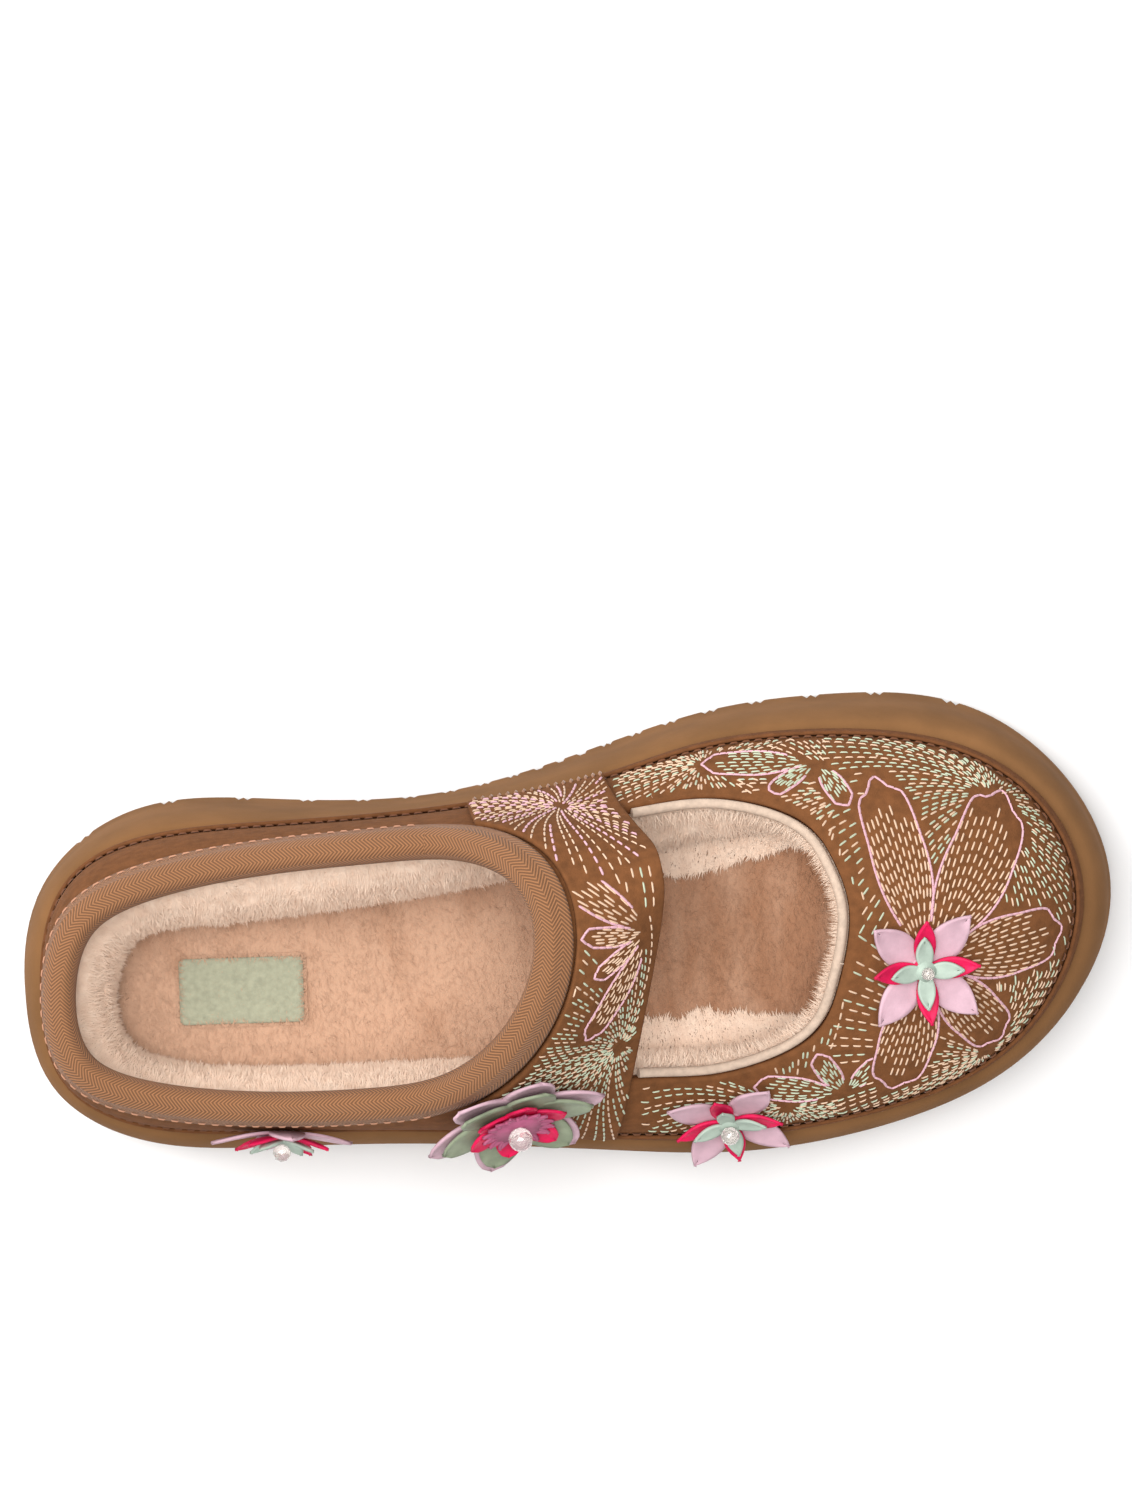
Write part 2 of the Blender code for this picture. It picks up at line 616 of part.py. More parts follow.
def make_upper(parent, sheet):
    upper = add_mesh("upper", sheet.points, sheet.wall_faces + sheet.arch_faces, SUEDE, parent)
    thicken(upper, WALL, outward=False)


def make_strap(parent, sheet):
    """The strap's suede, laid over the upper from one foot line to the other."""
    strap = add_mesh("strap", sheet.points, sheet.strap_faces(), SUEDE, parent)
    lift(strap, GAP)
    thicken(strap, STRAP_COVER, outward=True)


def make_foxing(parent, sheet):
    """Suede strip round the foot of the upper, just above the sole."""
    count = sheet.rows
    heights = (2 * GAP, 2 * GAP + FOXING_HEIGHT)
    lines = [wall(sheet.loop, wall_share(sheet.loop, height)) for height in heights]
    foxing = add_mesh("foxing", np.concatenate(lines), ring_faces(0, count, count), SUEDE, parent)
    lift(foxing, GAP)
    thicken(foxing, FOXING_THICKNESS, outward=True)


def sheet_tree(sheet):
    faces = sheet.wall_faces + sheet.arch_faces
    return BVHTree.FromPolygons([Vector(p) for p in sheet.points], faces)


def sheet_normals(sheet):
    """Normals at the sheet's points, averaged over the faces round each."""
    normals = np.zeros_like(sheet.points)
    for face in sheet.wall_faces + sheet.arch_faces:
        a, b, c, d = (sheet.points[i] for i in face)
        normals[list(face)] += np.cross(c - a, d - b)
    return unit(normals)


def make_binding(parent, sheet, tree):
    """Twill tape folded over the collar, right round."""
    numbers = sheet.collar()
    edge = sheet.points[numbers]
    out = sheet_normals(sheet)[numbers]
    way = unit(np.roll(edge, -1, 0) - np.roll(edge, 1, 0))
    onto = unit(np.cross(out, way))
    lines = []
    for fold in BINDING_SECTION:
        line = edge + onto * fold.inward + out * fold.outward
        if fold.inward > 1 and fold.outward > 0:
            for i, start in enumerate(edge + onto * fold.inward):
                spot, face_out = tree.find_nearest(Vector(start))[:2]
                line[i] = spot + face_out * fold.outward
        lines.append(line)
    count = len(numbers)
    faces = []
    for i in range(len(lines)):
        faces += ring_faces(i * count, (i + 1) % len(lines) * count, count)
    add_mesh("collar_binding", np.concatenate(lines), faces, TWILL, parent)


def make_piping(parent, sheet):
    """Round cream piping on the edge of the throat, from one side of the strap to the other."""
    start, end = KNOT_OF["strap_front_medial"], KNOT_OF["strap_front_lateral"]
    loop = np.linspace(start, end, TOE_CELLS + 1)
    loop[0] += 0.25 * (loop[1] - loop[0])
    loop[-1] -= 0.25 * (loop[-1] - loop[-2])
    edge = wall(loop, 1.0)
    up = unit(edge - wall(loop, 0.98))
    way = unit(np.gradient(edge, axis=0))
    out = unit(np.cross(way, up))
    out *= np.sign((out * (edge - edge.mean(0))).sum(1))[:, None]
    middle = edge + up * (PIPING_RADIUS + GAP) - out * WALL / 2
    turns = np.arange(PIPING_SIDES) * 2 * math.pi / PIPING_SIDES
    rings = [
        m + PIPING_RADIUS * (np.outer(np.cos(turns), u) + np.outer(np.sin(turns), o))
        for m, u, o in zip(middle, up, out)
    ]
    last = TOE_CELLS * PIPING_SIDES
    faces = [tuple(range(PIPING_SIDES)), tuple(reversed(range(last, last + PIPING_SIDES)))]
    for i in range(TOE_CELLS):
        faces += ring_faces(i * PIPING_SIDES, (i + 1) * PIPING_SIDES, PIPING_SIDES)
    add_mesh("throat_piping", np.concatenate(rings), faces, CREAM, parent)


def make_petals(name, layer, look, parent):
    """One die-cut layer of petals, cupped upwards, about its own origin."""
    samples = FRINGE_SAMPLES if layer.petals > 8 else PETAL_SAMPLES
    half = math.pi / layer.petals
    points = [(0.0, 0.0, 0.0)]
    for reach in (0.45, 1.0):
        for petal in range(layer.petals):
            for share in samples:
                angle = math.radians(layer.turn) + (2 * petal + share) * half
                edge = layer.core + (layer.tip - layer.core) * (1 - abs(share) ** layer.point)
                radius = edge * reach
                height = layer.cup * (radius / layer.tip) ** 2
                points.append((radius * math.cos(angle), radius * math.sin(angle), height))
    count = layer.petals * len(samples)
    faces = [(0, 1 + i, 1 + (i + 1) % count) for i in range(count)]
    faces += [(1 + i, 1 + count + i, 1 + count + (i + 1) % count, 1 + (i + 1) % count) for i in range(count)]
    petals = add_mesh(name, points, faces, look, parent)
    thicken(petals, PETAL_THICKNESS, outward=True)


def make_bead(name, radius, height, parent):
    shape = bmesh.new()
    bmesh.ops.create_uvsphere(shape, u_segments=10, v_segments=6, radius=radius * MM)
    mesh = bpy.data.meshes.new(name)
    shape.to_mesh(mesh)
    shape.free()
    mesh.shade_smooth()
    mesh.materials.append(finish(name, BEAD))
    bead = bpy.data.objects.new(name, mesh)
    bead.location = (0, 0, height * MM)
    bead.parent = parent
    bpy.context.scene.collection.objects.link(bead)


def make_flower(parent, flower, tree):
    """A stack of petal layers and a bead, square to the upper where it is sewn on."""
    spot, out = tree.find_nearest(Vector((flower.along, flower.side, flower.height)))[:2]
    toward_toe = (Vector((1, 0, 0)) - out * out.x).normalized()
    facing = Matrix((toward_toe, out.cross(toward_toe), out)).transposed()
    stem = bpy.data.objects.new(f"flower_{flower.name}", None)
    stem.parent = parent
    stem.rotation_euler = (facing @ Matrix.Rotation(math.radians(flower.turn), 3, "Z")).to_euler()
    stem.location = (spot + out * flower.stand_off) * MM
    bpy.context.scene.collection.objects.link(stem)
    looks = ROUND_FINISHES if flower.layers is ROUND_LAYERS else POINTED_FINISHES
    step = PETAL_THICKNESS + GAP
    for i, (layer, look) in enumerate(zip(flower.layers, looks)):
        tier = bpy.data.objects.new(f"{flower.name}_tier_{i}", None)
        tier.location = (0, 0, i * step * MM)
        tier.parent = stem
        bpy.context.scene.collection.objects.link(tier)
        make_petals(f"{flower.name}_flower_{layer.name}", layer, look, tier)
    make_bead(f"{flower.name}_flower_bead", flower.bead, len(flower.layers) * step + flower.bead, stem)


def centre_on_floor(root):
    """Puts the middle of the whole slipper's footprint at the origin."""
    bpy.context.view_layer.update()
    graph = bpy.context.evaluated_depsgraph_get()
    corners = []
    for made in bpy.context.scene.objects:
        if made.type == "MESH":
            seen = made.evaluated_get(graph)
            corners += [seen.matrix_world @ vertex.co for vertex in seen.data.vertices]
    corners = np.array(corners)
    middle = (corners.min(0) + corners.max(0)) / 2
    root.location = (-middle[0], -middle[1], 0.0)


def main():
    for old in list(bpy.data.objects):
        bpy.data.objects.remove(old, do_unlink=True)
    root = bpy.data.objects.new("slipper", None)
    bpy.context.scene.collection.objects.link(root)
    sheet = UpperSheet()
    tree = sheet_tree(sheet)
    make_outsole(root)
    insole = make_insole(root)
    make_label(root, insole)
    make_lining(root, insole)
    make_upper(root, sheet)
    make_foxing(root, sheet)
    make_strap(root, sheet)
    make_binding(root, sheet, tree)
    make_piping(root, sheet)
    for flower in FLOWERS:
        make_flower(root, flower, tree)
    centre_on_floor(root)


main()
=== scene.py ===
"""Looks of the mary jane slipper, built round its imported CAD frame.

The tables and shape functions are the CAD source's own, in millimetres from the back of the heel, drawn
here at a finer step. +X runs to the toe, +Y to the medial side and +Z up.
"""

import math
from collections import namedtuple

import bpy
import numpy as np
from mathutils import Matrix, Vector
from mathutils.bvhtree import BVHTree
from mathutils.kdtree import KDTree


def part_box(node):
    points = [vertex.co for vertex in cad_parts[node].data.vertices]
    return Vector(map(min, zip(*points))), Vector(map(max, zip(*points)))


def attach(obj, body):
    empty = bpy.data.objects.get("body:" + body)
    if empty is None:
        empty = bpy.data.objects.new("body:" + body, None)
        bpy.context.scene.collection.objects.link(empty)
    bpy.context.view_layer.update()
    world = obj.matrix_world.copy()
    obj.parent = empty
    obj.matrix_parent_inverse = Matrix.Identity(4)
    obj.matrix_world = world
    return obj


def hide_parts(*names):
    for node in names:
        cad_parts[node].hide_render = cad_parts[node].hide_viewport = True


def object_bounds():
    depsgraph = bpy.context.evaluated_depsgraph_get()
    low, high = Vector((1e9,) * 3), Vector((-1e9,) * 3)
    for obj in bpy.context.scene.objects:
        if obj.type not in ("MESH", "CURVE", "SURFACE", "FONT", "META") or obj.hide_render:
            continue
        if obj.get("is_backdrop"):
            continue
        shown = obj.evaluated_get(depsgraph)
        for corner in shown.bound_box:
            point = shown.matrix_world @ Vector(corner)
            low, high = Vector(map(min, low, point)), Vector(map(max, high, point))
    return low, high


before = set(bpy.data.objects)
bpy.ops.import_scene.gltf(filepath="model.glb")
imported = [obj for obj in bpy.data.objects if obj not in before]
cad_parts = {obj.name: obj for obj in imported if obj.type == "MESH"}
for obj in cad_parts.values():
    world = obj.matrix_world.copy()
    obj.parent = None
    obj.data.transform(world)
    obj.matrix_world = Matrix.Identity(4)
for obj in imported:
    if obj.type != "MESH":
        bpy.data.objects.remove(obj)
cad_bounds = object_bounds()
dice = np.random.default_rng(11)

MM, PERCENT = 0.001, 100
LENGTH, BALL_WIDTH, INSTEP_HEIGHT = 272.0, 113.0, 103.0
WALL, LINING, GAP = 2.2, 2.2, 0.3
SEAT_DEPTH, SEAT_CLEARANCE = 4.0, 0.8

# Camera: its tilt to the medial side and roll in degrees, its distance and the sole's scale in the picture.
TILT, ROLL = 5.0, 4.63
DISTANCE = 1200.0
PICTURE = (1132, 1509)
PIXELS_PER_MM = 4.046
AIM = (136.0, 0.0, 20.0)        # this point of the slipper
AIM_PIXEL = (565.5, 931.0)      # is seen at this pixel

# Studio, in metres and watts.
FAR_CLIP = 20
FLOOR_REACH, FLOOR_COLOUR = 4.0, (0.93, 0.93, 0.93, 1.0)
SKY_COLOUR, SKY_STRENGTH = (1.0, 0.99, 0.98, 1.0), 0.36
Light = namedtuple("Light", "name place size power")
LIGHTS = (Light("key", (-0.75, 0.6, 0.9), 0.8, 9.0), Light("top", (-0.1, 0.1, 1.5), 1.0, 23.0))
LIGHTS_AIM = (0.0, 0.0, 0.04)

# Steps of the fine surfaces. The strap's cover starts this far in front of its back edge and up the wall.
WALL_CELLS, STRAP_CELLS, ARCH_CELLS, HEEL_CELLS, TOE_CELLS = 36, 36, 80, 150, 140
STRAP_BACK_CELL, STRAP_FOOT_CELL = 2 * STRAP_CELLS // 9, WALL_CELLS // 3
OUTLINE_STEPS, SIDE_STEPS, TAPE_STEPS, PIPING_STEPS = 4000, 5, 4, 180
TOE_SEARCH_STEPS, INSOLE_STEPS, INSOLE_LINES, FOXING_LINES = 720, 150, 24, 7
ROLL_LINES, BACK_LINES = 30, 8
SHARP_ANGLE = 50.0

Station = namedtuple(
    "Station",
    "name sole_along sole_side foot_along foot_side edge_along edge_side edge_height sweep bulge pile",
)
# The CAD's stations: places in percent of the length, the width and the instep's height, the wall's sweep in
# degrees, and its bulge and the fleece's reach in from the foot line in millimetres.
STATIONS = (
    Station("heel_back", 0.0, -4.4, 3.5, -4.4, 5.2, -4.0, 76.7, 24, 1.0, 14.5),
    Station("heel_medial_corner", 2.6, 19.0, 5.3, 16.4, 7.0, 13.0, 76.5, 24, 1.0, 17.0),
    Station("heel_medial", 11.0, 33.0, 11.4, 27.3, 12.7, 21.4, 75.5, 26, 1.0, 20.0),
    Station("quarter_medial", 23.9, 33.2, 23.9, 29.2, 23.9, 25.8, 75.5, 28, 1.0, 21.0),
    Station("strap_back_medial", 38.6, 31.4, 38.6, 29.3, 39.0, 27.2, 82.0, 32, 1.0, 18.5),
    Station("strap_front_medial", 53.7, 38.5, 54.4, 33.4, 55.5, 28.3, 61.0, 46, 1.0, 19.0),
    Station("throat_medial", 65.0, 45.0, 64.3, 38.8, 63.6, 29.2, 56.5, 56, 1.0, 22.0),
    Station("ball_medial", 76.1, 46.4, 75.7, 39.1, 70.4, 24.2, 58.5, 68, 1.4, 21.0),
    Station("toe_medial", 89.3, 40.3, 87.9, 31.9, 73.7, 14.6, 63.0, 78, 2.0, 19.0),
    Station("toe", 100.0, 0.9, 96.1, 0.9, 74.8, 0.9, 65.5, 82, 2.0, 20.0),
    Station("toe_lateral", 91.9, -35.0, 89.3, -30.1, 73.3, -13.7, 63.0, 78, 2.0, 19.0),
    Station("ball_lateral", 76.7, -50.4, 75.4, -42.9, 69.3, -26.1, 57.5, 68, 1.4, 20.0),
    Station("throat_lateral", 64.7, -53.1, 64.0, -45.4, 62.1, -30.8, 54.5, 56, 1.0, 22.0),
    Station("strap_front_lateral", 52.6, -50.2, 52.9, -43.4, 54.4, -29.8, 59.0, 46, 1.0, 20.0),
    Station("strap_back_lateral", 36.4, -45.8, 36.4, -37.8, 36.8, -29.0, 81.0, 32, 1.0, 15.5),
    Station("quarter_lateral", 22.1, -43.7, 22.1, -35.2, 22.1, -28.6, 75.0, 28, 0.8, 14.0),
    Station("heel_lateral", 9.6, -39.3, 10.6, -31.2, 11.6, -23.6, 75.5, 26, 0.8, 13.5),
    Station("heel_lateral_corner", 2.0, -25.7, 4.8, -21.2, 6.7, -16.6, 76.5, 24, 1.0, 14.0),
)

# Heights of the tread and of the sole's rim in millimetres, at places in percent of the length.
Level = namedtuple("Level", "along ground rim")
LEVELS = (
    Level(0, 3.0, 42.0),
    Level(6, 0.0, 41.5),
    Level(32, 0.0, 39.0),
    Level(43, 1.5, 38.0),
    Level(54, 0.0, 36.5),
    Level(70, 0.0, 35.0),
    Level(79, 0.0, 35.0),
    Level(90, 3.2, 37.0),
    Level(100, 10.0, 41.0),
)
Shoulder = namedtuple("Shoulder", "inward upward")
SHOULDERS = (Shoulder(0.13, 0.28), Shoulder(0.30, 0.70), Shoulder(0.58, 0.93))
TREAD_EDGE, EDGE_RISE = 0.14, 1.6
WAIST, WAIST_PITCH, PITCH_GROWTH = 138.0, 5.5, 0.165
GROOVE_MOUTH, GROOVE_FLOOR, MOUTH_LIMIT = 0.22, 0.11, 2.2
GROOVE_DEPTH, GROOVE_NOTCH, GROOVE_LIP, GROOVE_LIP_DEPTH = 3.0, 0.07, 0.8, 0.3
END_ARC = (0.05, 0.2, 0.5, 0.9, 1.5, 2.4, 3.5, 5.0, 6.5, 8.5, 10.5, 13.0)
RUNG_SPACING = 1.6

# The strap's crests in percent, and the share of the wall's rise where its way over the edge is measured.
NEAR_EDGE = 0.98
Crest = namedtuple("Crest", "along side height")
STRAP_CRESTS = (Crest(48.5, 1.5, 100.0), Crest(58.5, 2.0, 91.5))

STRAP_COVER = 1.6
STRAP_FOOT = STRAP_FOOT_CELL / WALL_CELLS
FOXING_HEIGHT, FOXING_THICKNESS = 5.0, 1.0
PIPING_RADIUS, PIPING_FULLNESS, PIPING_SIDES, PIPING_INSET = 1.4, 0.85, 14, 0.25 / 24
INSOLE_THICKNESS, INSOLE_ROUND, INSOLE_BORDER = 6.0, 2.2, 0.05
LABEL_SIZE, LABEL_CENTRE, LABEL_TURN = (30.0, 16.0), (56.5, -6.0), -3.0
LABEL_CORNER, LABEL_THICKNESS, LABEL_CELLS = 1.2, 0.8, 24
LABEL_WAVE, LABEL_RADIANS_PER_MM = 0.15, 0.4

# The fleece roll: its gap to the wall, its stand over the insole and the share of the outline that rounds
# its foot. By stretch, how far its top is under the edge, and its bulge as shares of its run and fall.
PILE_CLEARANCE, PILE_STANDING, PILE_ROUNDING, ROUNDING_STEPS = 0.5, 0.9, 0.05, 9
Roll = namedtuple("Roll", "drop bulge_run bulge_fall")
COLLAR_ROLL, THROAT_ROLL = Roll(5.4, 0.7, 0.1), Roll(0.9, 0.55, 0.35)
FOOT_RUN, FOOT_FALL = 0.1, 0.5
Lump = namedtuple("Lump", "height size seed")
ROLL_LUMPS = (Lump(0.6, 9.0, 3), Lump(0.25, 4.0, 5))
STRAP_LUMPS, HEM_LUMPS = (Lump(0.7, 5.0, 9),), (Lump(0.25, 12.0, 73),)
LUMP_WAVES, LUMP_GAIN = 14, 2.2
SWIRL_SIZE, SWIRL_SEEDS = 11.0, (61, 63, 65)

Fibre = namedtuple("Fibre", "count quick_count length width bend seed")
ROLL_FIBRE = Fibre(60000, 2000, 2.2, 0.22, 0.2, 31)
FRINGE_FIBRE = Fibre(9000, 400, 4.6, 0.26, 0.35, 51)
HEM_FIBRE = Fibre(24000, 500, 2.3, 0.26, 0.25, 75)
STRAP_FIBRE = Fibre(14000, 500, 2.2, 0.22, 0.2, 85)
NAP_FIBRE = Fibre(24000, 1500, 2.2, 0.22, 0.3, 41)
BORDER_FIBRE = NAP_FIBRE._replace(count=900, quick_count=80)
FIBRE_SINK, FIBRE_POINTS = 0.3, 5
# A blade: the scatter of its facing, its lengths, and its middle, tip, taper and bend there, as shares.
BLADE_SCATTER, BLADE_LENGTHS = 0.4, (0.6, 1.25)
BLADE_MIDDLE, BLADE_TIP, BLADE_TAPER, MIDDLE_BEND = 0.55, 0.95, 0.7, 0.4
# The ways of fibres: how far they rise off their ground, lean with the comb, droop and scatter.
PILE_RISE, PILE_LEAN, PILE_FACES_UP = 0.5, 0.7, 0.8
SWIRL, COMB_SCATTER, STRAP_SCATTER = 0.6, 0.2, 0.4
FRINGE_DEPTH, FRINGE_START, FRINGE_CLEARANCE = 3.0, 0.985, 0.6
FRINGE_SCATTER, FRINGE_DROOP, FRINGE_FACES_IN = 0.3, 0.25, 0.5
HEM_STANDING, HEM_SPREAD, HEM_SCATTER, HEM_RISE = 0.7, (-0.3, 1.0), 0.3, 0.2
NAP_AHEAD, NAP_ASIDE, NAP_RISE = (0.0, 0.35), (-0.6, 0.5), (0.03, 0.22)
BORDER_SCATTER, BORDER_RISE, BORDER_OUTSET, BORDER_LIFT = 0.5, 0.45, 0.8, 0.5
ROLL_SEED, HEM_SEED, STRAP_SEED, STRAP_COMB_SEED = 21, 71, 81, 83
# How far the hem's fibres lie in over the insole, by station.
HEM = {
    "strap_front_medial": 8.0,
    "throat_medial": 7.5,
    "ball_medial": 4.0,
    "toe": 0.0,
    "ball_lateral": 4.0,
    "throat_lateral": 8.0,
    "strap_front_lateral": 8.5,
}
STRAP_LINING, STRAP_LINING_DEPTH, STRAP_LINING_TURN, STRAP_LINING_BACK = 1.6, 2.6, 9, 3

Fold = namedtuple("Fold", "inward outward")
INNER_FOLD = -(WALL + LINING)
TAPE, TAPE_GAP, TAPE_LIES_FLAT = 1.2, 0.5, 0.5
CHEVRON, YARN = 2.4, 0.95
EDGE_PASSES, OUT_PASSES, WAY_PASSES = 24, 12, 8
BINDING_OUTSIDE = (
    Fold(5.5, TAPE_GAP + TAPE),
    Fold(2.6, TAPE_GAP + TAPE),
    Fold(0.2, TAPE_GAP + TAPE),
    Fold(-1.7, 0.0),
    Fold(-2.7, INNER_FOLD / 2),
    Fold(-1.7, INNER_FOLD),
    Fold(0.2, INNER_FOLD - TAPE),
    Fold(2.6, INNER_FOLD - TAPE),
    Fold(4.5, INNER_FOLD - TAPE),
)

Layer = namedtuple("Layer", "name petals tip core half_width blunt cup turn look")
POINTED_LAYERS = (
    Layer("petals_back", 4, 17.3, 3.6, 4.3, 0.9, 2.4, 45.0, "petal_pale"),
    Layer("petals_middle", 4, 13.2, 3.0, 2.7, 0.9, 3.0, 0.0, "petal_pink"),
    Layer("petals_front", 4, 9.2, 2.6, 2.2, 0.8, 2.4, 0.0, "petal_mint"),
)
ROUND_LAYERS = (
    Layer("petals_back", 6, 22.3, 5.0, 6.4, 0.55, 3.2, 0.0, "petal_pale"),
    Layer("petals_inner", 6, 19.0, 4.6, 5.9, 0.55, 3.6, 0.0, "petal_sage"),
    Layer("petals_middle", 6, 12.5, 4.2, 3.9, 0.5, 2.8, 8.0, "petal_pink"),
    Layer("petals_fringe", 16, 9.0, 6.4, 1.3, 0.5, 1.6, 0.0, "petal_mauve"),
)
PETAL_THICKNESS = 0.7
PETAL_ROWS, PETAL_COLUMNS, CORE_SIDES = 15, 9, 24
# A petal's root, fullness and curled edges. Petals scatter in degrees and, where few, in millimetres.
PETAL_ROOT, PETAL_FULLNESS, EDGE_CURL, CURL_POWER = 0.1, 1.15, 0.5, 1.5
TURN_SCATTER, LIFT_SCATTER, FEW_PETALS = 3.0, 0.5, 8
# Rings and facets of the beads.
BIG_CUT, SMALL_CUT = (10, 16), (7, 9)
Flower = namedtuple("Flower", "name along side height turn stand_off bead layers")
FLOWERS = (
    Flower("toe", 220.0, -12.0, 64.0, 0.0, GAP, 1.6, POINTED_LAYERS),
    Flower("vamp", 171.5, -46.0, 48.5, 12.0, GAP, 2.3, POINTED_LAYERS),
    Flower("strap", 119.0, -33.0, 70.0, 10.0, 2 * GAP + STRAP_COVER, 2.9, ROUND_LAYERS),
    Flower("heel", 64.5, -38.0, 59.0, 30.0, GAP, 2.2, POINTED_LAYERS),
)

# Embroidery, the builder's own layout: fans of running stitch with scalloped outlines, and tufts between.
Petal = namedtuple("Petal", "direction reach spread")
Blossom = namedtuple("Blossom", "along side height rays threads petals")
BLOSSOMS = (
    Blossom(221.0, -11.5, 66.0, 13, ("peach", "pink"), (
        Petal(-104, 33, 27), Petal(-50, 30, 27), Petal(3, 36, 26), Petal(53, 43, 25), Petal(97, 42, 20),
    )),
    Blossom(155.0, 5.0, 94.0, 8, ("peach", "pink"), (
        Petal(128, 27, 18), Petal(163, 17, 17), Petal(198, 17, 17), Petal(233, 30, 18),
    )),
    Blossom(199.0, 38.0, 52.0, 9, ("sage", "pink"), (
        Petal(174, 27, 20), Petal(214, 14, 20), Petal(-62, 14, 24),
    )),
    Blossom(200.0, -42.0, 52.0, 9, ("sage", "pink"), (
        Petal(168, 22, 22), Petal(118, 14, 24), Petal(48, 13, 24),
    )),
)
Tuft = namedtuple("Tuft", "along side height reach rays threads")
TUFTS = (
    Tuft(240.0, 27.0, 52.0, 48.0, 110, ("sage", "peach")),
    Tuft(206.0, 30.0, 57.0, 28.0, 84, ("peach", "sage")),
    Tuft(151.0, -29.0, 80.0, 44.0, 104, ("sage", "peach")),
    Tuft(137.0, 33.0, 68.0, 40.0, 64, ("peach", "pink")),
    Tuft(236.0, -38.0, 50.0, 44.0, 96, ("peach", "sage")),
    Tuft(186.0, -45.0, 50.0, 40.0, 90, ("sage", "peach")),
    Tuft(172.0, 40.0, 50.0, 32.0, 78, ("peach", "sage")),
)
# Stitches: length, gap to the next and the thread's radius.
Stitch = namedtuple("Stitch", "dash gap radius")
THREAD = 0.23
RUNNING, TUFT_RUNNING = Stitch(2.2, 0.8, THREAD), Stitch(1.8, 0.8, THREAD)
OUTLINE = Stitch(1.9, -0.25, THREAD * 1.3)
FOXING_SEAM, TAPE_SEAM = Stitch(2.0, 1.0, 0.3), Stitch(1.9, 1.3, 0.26)
Ring = namedtuple("Ring", "share size lift")
STITCH_RINGS = (Ring(0.0, 0.5, -0.4), Ring(0.18, 1.0, 0.45), Ring(0.82, 1.0, 0.45), Ring(1.0, 0.5, -0.4))
STITCH_SIDES, STITCH_FLATNESS, LONGEST_STITCH = 4, 0.6, 2.5
WHIP_LENGTH, WHIP_RADIUS, WHIP_COUNT, WHIP_LEAN, WHIP_LIFT = 3.4, 0.42, 17, 0.0006, 0.1
WHIP_SPAN = (0.26, 0.98)
WHIP_CORNER, WHIP_FOOT, WHIP_TILT = 0.1, 0.9, 0.8
FOXING_SEAM_RISE, SEAM_TILT, SEAM_LIFT, TAPE_SEAM_INSET, TAPE_SEAM_LIFT = 1.0, 0.25, 0.25, 1.1, 0.05
# A stitched petal: shares of its spread at both ends and added between, then its tip's drop and scallops.
PETAL_ENDS, PETAL_BELLY, BELLY_SHIFT = 0.62, 0.38, 0.8
TIP_DROP, TIP_POWER, SCALLOP, SCALLOPS = 0.26, 2.4, 0.025, 3
# Its rays, as shares of its reach and spread: where the long and the short ones start, and where they end.
LONG_RAY, SHORT_RAY, RAY_ENDS, RAY_SPAN = 0.15, 0.36, (0.86, 0.96), 0.86
BORDER_START, PETAL_CLAIM = 0.3, 1.03
RAY_POINTS, TIP_POINTS, CLAIM_LINES, CLAIM_POINTS = 30, 31, 33, 60
# A tuft's rays: shares of its reach, farther out for every second and fourth, and a curl in radians per mm.
TUFT_START, SECOND_RAY, FOURTH_RAY, TUFT_ENDS = 0.04, 0.14, 0.2, (0.8, 1.0)
TUFT_CURL, TUFT_SCATTER, TUFT_POINTS = 0.008, 0.2, 14
TUFT_CLAIM, TUFT_CLAIM_STEP, LEAST_CLAIMS, CLAIMS_PER_MM = 0.8, 0.9, 8, 7
# Lines between the motifs: distances from the throat in millimetres, and shares of the strap's width.
THROAT_LINES, STRAP_LINES, STRAP_LINE_FOOT = (2.2, 36.0, 2.0), (0.89, 0.2, -0.07), 0.36
DEPTH_POINTS, RISE_POINTS, ARCH_POINTS = 41, 24, 60
# How far the embroidery stays from the canvas's edges, and the size of the cells that record where it lies.
TAPE_MARGIN, STRAP_MARGIN, WHIP_MARGIN, THROAT_MARGIN, FOXING_MARGIN = 7.0, 2.8, 2.0, 1.6, 2.0
THROAT_POINTS, STRAP_FRONT_POINTS, STRAP_FOOT_POINTS = 300, 120, 90
VAMP_START, STRAP_END = 150.0, 160.0
CELLS_PER_MM = 0.9
RAY_START, RAY_LENGTH, LEAST_FACING = 40.0, 90.0, 0.5


# Curves


def closed_spline(knots, rows):
    """Periodic cubic spline through rows at knots, which start at 0 and go once round before 1."""
    count = len(rows)
    spans = np.diff(np.append(knots, 1.0))
    slopes = (np.roll(rows, -1, 0) - rows) / spans[:, None]
    system = np.zeros((count, count))
    for i in range(count):
        system[i, i] = 2 * (spans[i - 1] + spans[i])
        system[i, i - 1] += spans[i - 1]
        system[i, (i + 1) % count] += spans[i]
    bends = np.linalg.solve(system, 6 * (slopes - np.roll(slopes, 1, 0)))

    def at(u):
        u = np.atleast_1d(u) % 1.0
        i = np.searchsorted(knots, u, side="right") - 1
        j = (i + 1) % count
        span = spans[i][:, None]
        after = (u - knots[i])[:, None]
        before = span - after
        return (
            (bends[i] * before**3 + bends[j] * after**3) / (6 * span)
            + (rows[i] / span - bends[i] * span / 6) * before
            + (rows[j] / span - bends[j] * span / 6) * after
        )

    return at


def hermite(start, end, start_slope, end_slope, t):
    """Cubic from start to end with these slopes, at t from 0 to 1."""
    return (
        start * (1 + 2 * t) * (1 - t) ** 2
        + end * t * t * (3 - 2 * t)
        + t * (1 - t) * (start_slope * (1 - t) - end_slope * t)
    )


